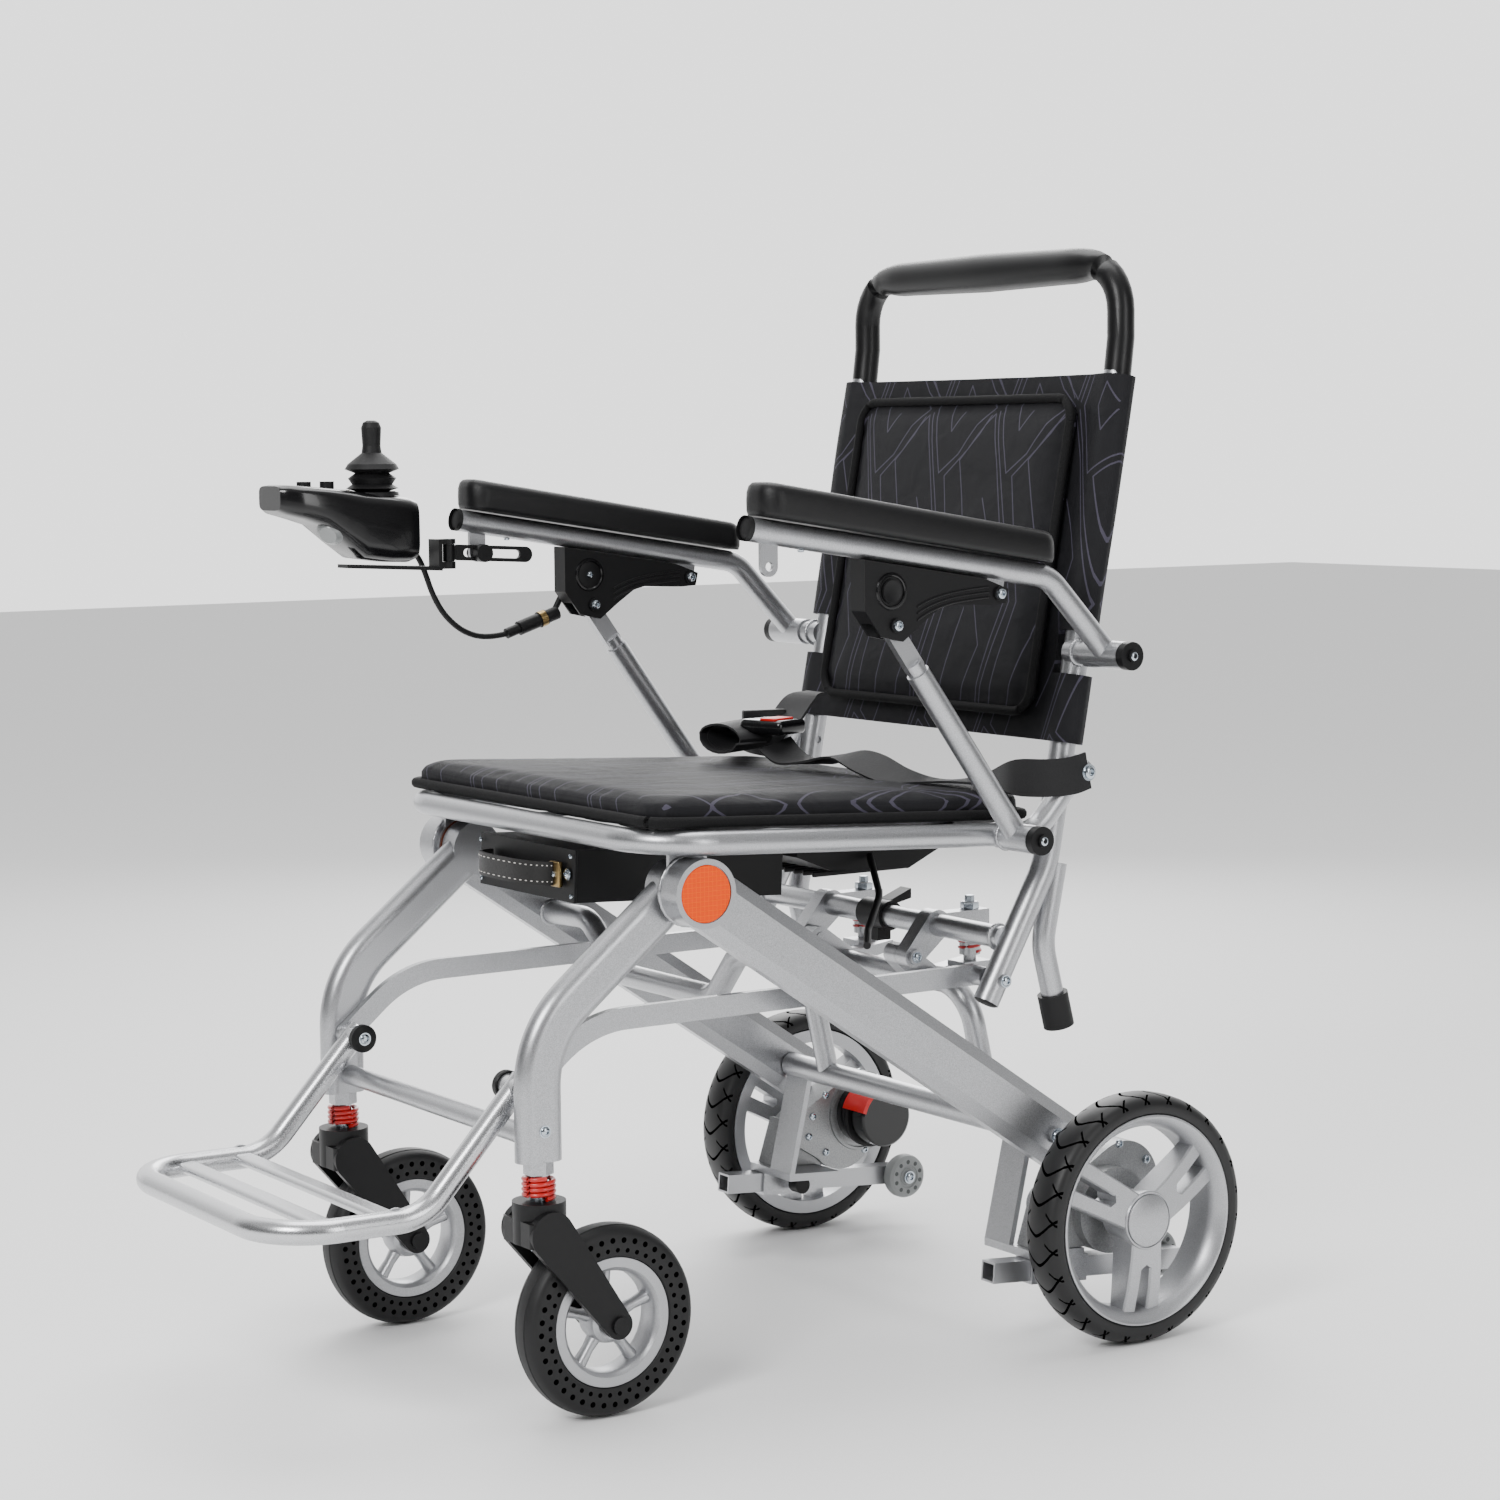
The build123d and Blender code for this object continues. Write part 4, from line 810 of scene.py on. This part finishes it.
for side_name, sign in (("left", 1), ("right", -1)):
    out, inn = (sign, 0, 0), (-sign, 0, 0)
    s = side_name
    bolt(f"bolt_lever_{s}", sign * 224.2, -111, 354, 5, "back", out)
    bolt(f"bolt_back_{s}", sign * 221.4, -33, 551, 4.2, "back", out)
    bolt(f"bolt_belt_{s}", sign * 249.6, -30, 551, 6.5, "seat", out)
    bolt(f"bolt_beam_{s}", sign * 242.6, -62, 201, 6.5, "beams", out)
    bolt(f"bolt_housing_{s}", sign * 278.0, -158, 727, 5, f"housing_{s}", out, False)
    bolt(f"bolt_strut_{s}", sign * 278.0, -276, 702, 5, f"housing_{s}", out, False)
    bolt(f"bolt_housing_in_{s}", sign * 250.0, -158, 727, 5, f"housing_{s}", inn, False)
    bolt(f"bolt_strut_in_{s}", sign * 250.0, -276, 702, 5, f"housing_{s}", inn, False)
    bolt(f"bolt_cap_top_{s}", sign * 301.2, -18.5, 664, 4.4, "upper_pivots", out, False)
    bolt(f"bolt_cap_low_{s}", sign * 301.2, -127, 497.1, 4.4, "lower_pivots", out, False)
    bolt(f"bolt_leg_{s}", sign * 203.0, -607.5, 268, 4.6, "front", out)
    bolt(f"bolt_foot_{s}", sign * 136.0, -610, 300, 5, "front", inn)
    turned(f"foot_cap_{s}",
           [(-6, 11.2), (-6, 12.6), (-5, 13.4), (0.6, 13.4), (1.8, 11.6), (1.8, 4)],
           mm(sign * 138, -610, 300), inn, "front", PLASTIC, 48)
    bolt(f"bolt_rocker_{s}", sign * 103.0, -126, 363, 4.6, "back", out)
    for k, y in enumerate((-372, -150)):
        z = 740.5 + (-92 - y) * ARM_DROP - 11.2
        bolt(f"screw_pad_{k}_{s}", sign * 264, y, z, 3.2, f"arm_{s}", (0, 0, -1), False)
    for k, (y, z) in enumerate(((-52, 112), (-30, 165), (18, 182), (58, 162), (62, 118), (30, 92))):
        bolt(f"screw_gearbox_{k}_{s}", sign * 236.0, y * 0.86 + 4, z, 4.4, "rear", out, False)
    turned(f"reflector_{s}", [(0, 0), (0, 25.4), (-0.6, 26)], mm(sign * 239.6, -460, 469.5),
           out, "beams", ORANGE, 64)
    turned(f"hub_bush_{s}", [(-0.6, 10.2), (-0.6, 27), (0.6, 27), (0.6, 10.2)],
           mm(sign * 204.3, -460, 469.5), out, "beams", BUSH, 48)
    turned(f"arm_plug_{s}", [(0, 0), (0, 8), (-1.2, 10.4), (-3, 11.4), (2, 11.4)],
           mm(sign * 264, -431, 793.0), (0, -1, 0.154), f"arm_{s}", RUBBER, 40)
    for k, (x0, x1, r) in enumerate(((156, 178.6, 31.5), (189.4, 204, 33))):
        turned(f"motor_cap_{k}_{s}", [(0, 0), (0, r - 2), (1.5, r), (x1 - x0, r), (x1 - x0, 0)],
               mm(sign * x0, 25, 140), out, "rear", GLOSS, 56)

# Anti-tip wheels
# Light grey rubber; the second colour is painted shade inside the holes.
tip_rubber = tyre_with_holes("tip_wheel_grey", BEHIND + 0.088, 0.0582, (0.0165,), 10, 0.0029,
                             (0.25, 0.26, 0.26), (0.10, 0.105, 0.105))
for side_name, sign in (("left", 1), ("right", -1)):
    roller = turned(f"tip_roller_{side_name}",
                    [(-8.6, 4.4), (-8.6, 9), (-7, 10), (-7, 12), (-8.2, 13), (-8.2, 20), (-6, 23),
                     (-3, 24), (3, 24), (6, 23), (8.2, 20), (8.2, 13), (7, 12), (7, 10), (8.6, 9),
                     (8.6, 4.4)],
                    mm(sign * 210.8, 88, 58.2), (sign, 0, 0), f"tip_wheel_{side_name}", tip_rubber,
                    56)
    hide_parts(f"anti_tip_wheel_{side_name}")
    bolt(f"tip_bolt_{side_name}", sign * 200.2, 88, 58.2, 5.6, f"tip_bar_{side_name}",
         (-sign, 0, 0))

# Release collars, levers, housings
for side_name, sign in (("left", 1), ("right", -1)):
    out, inn = (sign, 0, 0), (-sign, 0, 0)
    s = side_name
    collar = turned(f"lever_collar_{s}",
                    [(0, 30.4), (0, 34.6), (1, 35.6), (7, 35.6), (8, 34.6), (8, 30.4), (0, 30.4)],
                    mm(sign * 180, 25, 140), out, f"lever_{s}", PLASTIC, 56)
    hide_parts(f"freewheel_lever_{s}")
    tab = []
    for k in range(7):
        angle = radians(128 + 6 * k)
        tab.append(mm(sign * 168, 25 + 35.6 * cos(angle), 140 + 35.6 * sin(angle)))
    ribbon(f"lever_tab_{s}", tab, 0.038, 0.0045, [Vector((1, 0, 0))] * len(tab), f"lever_{s}",
           RED_PLASTIC)
    for k, (x0, direction) in enumerate(((275.2, out), (252.8, inn))):
        turned(f"button_ring_{k}_{s}",
               [(0, 13.4), (1.0, 13.6), (1.8, 14.6), (1.6, 16.4), (0, 17.2)],
               mm(sign * x0, -281, 733), direction, f"housing_{s}", GLOSS, 56)
    turned(f"button_inner_{s}", [(0, 0), (0.4, 3.2), (0.4, 10), (-0.2, 12.8)],
           mm(sign * 252.6, -281, 733), inn, f"housing_{s}", PLASTIC, 48)
    bolt(f"bolt_button_in_{s}", sign * 252.2, -281, 733, 3.4, f"housing_{s}", inn, False)
    turned(f"button_dish_{s}", [(0.5, 10.3), (0.5, 9.6), (0.2, 8.8), (0.05, 0)],
           mm(sign * 277.0, -281, 733), out, f"button_{s}", PLASTIC, 48)
    for k, shift in enumerate((0, 6, 12)):
        for x0 in (275.1, 252.9):
            ridge = [(-252, 706 + shift), (-238, 713 + shift * 0.9), (-218, 719 + shift * 0.8),
                     (-196, 722 + shift * 0.8), (-170, 724 + shift * 0.8)]
            line = smooth_path([mm(sign * x0, y, z) for y, z in ridge], 4)
            tube_piece(f"housing_ridge_{k}_{int(x0)}_{s}", line, 0.0011, f"housing_{s}", PLASTIC,
                       8)
    tube_dir = (0, -72.6, -126)
    turned(f"tube_plug_{s}", [(1.6, 0), (1.6, 9.5), (0.2, 11.8), (-1, 12.2)],
           mm(sign * 208.5, -123, 333), tube_dir, "back", RUBBER, 40)
    for k, (y, z) in enumerate(((-30, 166), (-8, 178), (22, 188), (50, 178), (66, 152), (-50, 142),
                                (-56, 118), (-30, 96), (30, 92), (56, 108))):
        bolt(f"screw_inner_{k}_{s}", sign * 203.0, y * 0.86 + 3, z * 0.9 + 14, 4.2, "rear", inn,
             False)
    turned(f"gear_rib_{s}", [(0, 39), (2.2, 39.6), (2.2, 42.5), (0, 43.2)],
           mm(sign * 203.0, 25, 140), inn, "rear", CAST, 64)

# Lap belt
BELT_WIDTH, BELT_THICK = 0.036, 0.0022
near = [mm(248.4, -30, 553), mm(248.2, -50, 549), mm(242, -78, 548), mm(225, -106, 549),
        mm(196, -132, 546), mm(158, -150, 543), mm(122, -164, 546), mm(88, -172, 556),
        mm(54, -178, 562), mm(16, -182, 552), mm(-30, -182, 552), mm(-62, -180, 565)]
tilt = [Vector((0, 0.5, 0.86)), Vector((0, 0.5, 0.86)), Vector((0.2, 0.6, 0.75)),
        Vector((0.3, 0.8, 0.4)), Vector((0.25, 1, 0.1)), Vector((0.2, 1, 0)), Vector((0.2, 1, 0.2)),
        Vector((0.1, 1, 0.4)), Vector((0, 1, 0.1)), Vector((0, 1, -0.1)), Vector((0, 1, 0.2)),
        Vector((0, 1, 0.5))]
near_strap = ribbon("belt_near", smooth_path(near, 6), BELT_WIDTH, BELT_THICK,
                    smooth_path(tilt, 6), "seat", WEBBING)
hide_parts("lap_belt")
far_line = [mm(-248.4, -30, 553), mm(-248.2, -52, 548), mm(-238, -82, 552), mm(-215, -112, 559),
            mm(-180, -140, 560), mm(-150, -162, 566), mm(-128, -170, 580)]
ribbon("belt_far", smooth_path(far_line, 6), BELT_WIDTH, BELT_THICK, smooth_path(tilt[:7], 6),
       "seat", WEBBING)
loop = []
for k in range(40):
    angle = 2 * pi * k / 20
    grow = 1 + 0.25 * k / 40
    loop.append(mm(-108 + 30 * cos(angle) * grow, -188 - 0.35 * k, 571 + 12 * sin(angle) * grow))
ribbon("belt_coil", loop, BELT_WIDTH, BELT_THICK, [Vector((0.15, 1, 0.1))] * len(loop), "seat",
       WEBBING)
flap = [mm(-100, -150, 575), mm(-112, -128, 590), mm(-118, -108, 605), mm(-116, -92, 609)]
belt_flap = ribbon("belt_flap", smooth_path(flap, 5), 0.045, 0.003,
                   [Vector((1, 0.3, 0.1))] * 16, "seat", WEBBING)
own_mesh(belt_flap)


def block(name, centre, size, tilt_z, body, finish, round_edge=0.002):
    """A box with rounded edges; centre and size in millimetres."""
    work = bmesh.new()
    bmesh.ops.create_cube(work, size=1)
    bmesh.ops.scale(work, vec=Vector(size) / 1000, verts=work.verts)
    bmesh.ops.bevel(work, geom=work.edges[:], offset=round_edge, segments=3, affect="EDGES",
                    profile=0.5)
    bmesh.ops.rotate(work, cent=(0, 0, 0), matrix=Matrix.Rotation(tilt_z, 3, "Z"), verts=work.verts)
    bmesh.ops.translate(work, vec=mm(*centre), verts=work.verts)
    data = bpy.data.meshes.new(name)
    work.to_mesh(data)
    work.free()
    made = link(name, data)
    data.materials.append(finish)
    data.shade_smooth()
    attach(made, body)
    return made


block("belt_buckle", (-72, -176, 582), (54, 44, 15), 0.3, "seat", GLOSS, 0.005)
block("belt_release", (-62, -178, 590), (20, 30, 3), 0.3, "seat", RED_PLASTIC, 0.001)
block("belt_adjuster", (-126, -150, 584), (10, 46, 20), -0.3, "seat", PLASTIC)

# Battery details
TRAY = 448                          # height of the plate's lower edge, in millimetres
TRAY_SLOPE = 0.0517


def on_tray(x, out, h):
    """A point on the battery's front plate."""
    return mm(x, -507 - out, TRAY + h + TRAY_SLOPE * out)


handle_line = [(-62, 0.6), (-60, 9), (-50, 20), (-30, 26), (0, 27.5), (28, 26.5), (48, 21),
               (58, 11), (60, 2)]
strap_points = smooth_path([on_tray(x, out, 25) for x, out in handle_line], 6)
strap = ribbon("battery_strap", strap_points, 0.022, 0.003, [Vector((0, 0, 1))] * len(strap_points),
               "battery", LEATHER)
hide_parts("battery_handle")
for edge_h in (-7.5, 7.5):
    for k in range(2, len(strap_points) - 3, 2):
        p, q = strap_points[k], strap_points[k + 1]
        away = Vector((q.y - p.y, p.x - q.x, 0)).normalized() * 0.0019
        lift = Vector((0, 0, edge_h / 1000))
        if away.y > 0:
            away = -away
        ends = [p + away + lift, p * 0.35 + q * 0.65 + away + lift]
        tube_piece(f"stitch_{k}_{'ab'[edge_h > 0]}", ends, 0.0005, "battery", THREAD, 6)
block("battery_clip_left", (62, -510, 473), (17, 5, 24), 0, "battery", BRASS, 0.0015)
bolt("battery_clip_screw", 62, -512.6, 473, 3.2, "battery", (0, -1, 0), False)
for k, (x, h) in enumerate(((78, 26), (-80, 26), (84, 6), (-84, 6), (84, 43), (-84, 43))):
    bolt(f"battery_screw_{k}", x, -507, TRAY + h, 4.5 if k < 2 else 2.4, "battery", (0, -1, 0),
         k < 2)
for k in range(9):
    block(f"controller_fin_{k}", (-64 + 16 * k, -168, 448.5), (4, 110, 5), 0, "seat", PLASTIC,
          0.001)

# Joystick case
stations = [(-637, 806, 830, 24), (-630, 802, 831, 31), (-612, 797, 830, 34), (-590, 790, 828, 35),
            (-568, 772, 826, 35), (-548, 757, 823, 35), (-520, 753, 820, 35), (-498, 752, 817, 34),
            (-489, 755, 814, 31), (-486.6, 762, 806, 26)]
case_verts, case_faces = [], []
RING = 36                           # points round the shell
SQUARENESS = 0.42
for y, low, high, half_width in stations:
    for k in range(RING):
        angle = 2 * pi * k / RING
        c, s_value = cos(angle), sin(angle)
        px = half_width * (abs(c) ** SQUARENESS) * (1 if c > 0 else -1)
        pz = (high - low) / 2 * (abs(s_value) ** SQUARENESS) * (1 if s_value > 0 else -1)
        case_verts.append(mm(-262 + px, y, (high + low) / 2 + pz))
for i in range(len(stations) - 1):
    for k in range(RING):
        a, b = i * RING + k, i * RING + (k + 1) % RING
        case_faces.append((a, b, b + RING, a + RING))
case_faces.append(tuple(range(RING)))
case_faces.append(tuple((len(stations) - 1) * RING + k for k in range(RING)))
case = mesh_piece("joystick_shell", case_verts, case_faces, "controller", GLOSS)
sharpen(case, 40)
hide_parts("joystick_case")
turned("joystick_collar", [(0, 27), (3.5, 26), (4.5, 22), (4.5, 0)], mm(-262, -525, 818.5),
       (0, 0, 1), "controller", PLASTIC, 48)
for k in range(5):
    block(f"panel_mark_{k}", (-262 + 10 * (k - 2), -562, 825.0), (5, 3, 0.8), 0, "controller",
          THREAD, 0.0002)
turned("joystick_lamp", [(0, 0), (2, 9), (-3, 14)], mm(-240, -585, 782), (0.5, -0.7, -0.5),
       "controller", GREY, 32)
turned("plug_ring", [(0, 8.6), (7, 8.6), (7, 7)], mm(CABLE_X, -321.5, 686.3), (0, 54, 17.5),
       "controller", BRASS, 40)

# Stop springs at the back
for side_name, sign in (("left", 1), ("right", -1)):
    coil_points = []
    for k in range(4 * 16 + 1):
        angle = 2 * pi * k / 16
        coil_points.append(mm(sign * 90.1 + 10.6 * cos(angle), -51 + 10.6 * sin(angle),
                              361 + 24 * k / 64))
    tube_piece(f"stop_coil_{side_name}", coil_points, 0.0016, "back", RED, 8)
    turned(f"stop_nut_{side_name}", [(0, 0), (0, 9), (1.5, 9.6), (7, 9.2), (8, 5), (14, 4.6),
                                     (14.4, 0)],
           mm(sign * 90.1, -51, 403.2), (0, 0, 1), "back", ZINC, 6)


# Weld beads
def weld(name, centre, axis, radius, body, bead=1.9):
    """A ring of overlapping weld drops."""
    along = Vector(axis).normalized()
    across = along.orthogonal().normalized()
    other = along.cross(across)
    steps = 96
    line, radii = [], []
    for k in range(steps + 1):
        angle = 2 * pi * k / steps
        line.append(mm(*centre) + (across * cos(angle) + other * sin(angle)) * radius / 1000)
        radii.append((bead + 0.5 * abs(sin(angle * 14))) / 1000)
    return tube_piece(name, line, radii, body, SILVER, 8)


for side_name, sign in (("left", 1), ("right", -1)):
    s = side_name
    weld(f"weld_stub_{s}", (sign * 222.5, -18.5, 664), (1, 0, 0), 11.6, "back")
    weld(f"weld_boss_{s}", (sign * 247, -127, 497.1), (1, 0, 0), 12.4, "seat", 1.6)
    weld(f"weld_hub_in_{s}", (sign * 211.5, -460, 469.5), (1, 0, 0), 31.2, "beams", 1.5)
    weld(f"weld_cradle_{s}", (sign * 210.5, -357, 392), (1, 0, 0), 11.4, "beams", 1.9)
    weld(f"weld_cross_{s}", (sign * 194.5, -97, 392), (1, 0, 0), 11.4, "back", 1.9)
    weld(f"weld_foot_{s}", (sign * 158, -733, 197.5), (1, 0, 0), 10.6, "foot_plate", 0.9)

# Stage and light
floor_data = bpy.data.meshes.new("floor")
floor_data.from_pydata([(-14, -14, 0), (14, -14, 0), (14, 14, 0), (-14, 14, 0)], [], [(0, 1, 2, 3)])
floor = link("floor", floor_data)
floor_data.materials.append(material("pale_floor", (0.93, 0.93, 0.93), 0, 0.85))


def set_range(mapping, *limits):
    """Sets where a map range starts and ends, before and after."""
    for socket, limit in zip(("From Min", "From Max", "To Min", "To Max"), limits):
        mapping.inputs[socket].default_value = limit


world = bpy.data.worlds.new("studio")
world.use_nodes = True
sky = world.node_tree
compass = node(sky, "ShaderNodeTexCoord").outputs["Generated"]
facing = node(sky, "ShaderNodeVectorMath", operation="DOT_PRODUCT")
sky.links.new(compass, facing.inputs[0])
facing.inputs[1].default_value = (-0.83, 0.55, 0.0)
height = node(sky, "ShaderNodeSeparateXYZ")
sky.links.new(compass, height.inputs[0])
behind = node(sky, "ShaderNodeMapRange", interpolation_type="SMOOTHSTEP")
sky.links.new(facing.outputs["Value"], behind.inputs["Value"])
set_range(behind, 0.1, 0.85, 0.12, 2.0)
above = node(sky, "ShaderNodeMapRange", interpolation_type="SMOOTHSTEP")
sky.links.new(height.outputs[2], above.inputs["Value"])
set_range(above, 0.25, 0.8, 0.0, 0.5)
sky.links.new(maths(sky, "ADD", behind.outputs[0], above.outputs[0]),
              sky.nodes["Background"].inputs["Strength"])
sky.nodes["Background"].inputs["Color"].default_value = (1, 1, 1, 1)
bpy.context.scene.world = world


def area_light(name, place, target, size, power):
    data = bpy.data.lights.new(name, "AREA")
    data.shape = "RECTANGLE"
    data.size, data.size_y = size
    data.energy = power
    lamp = link(name, data)
    lamp.location = place
    lamp.rotation_euler = (Vector(target) - Vector(place)).to_track_quat("-Z", "Y").to_euler()
    return lamp


area_light("key", (1.5, -2.7, 2.5), (0, 0, 0.5), (1.2, 1.2), 95)
area_light("fill", (3.4, 0.6, 1.5), (0, 0, 0.5), (1.0, 2.0), 34)
area_light("top", (-0.4, 0.3, 3.2), (0, 0, 0.5), (2.2, 2.2), 75)
area_light("rim_light", (-2.4, 1.8, 1.8), (0, 0, 0.6), (1.2, 2.0), 40)
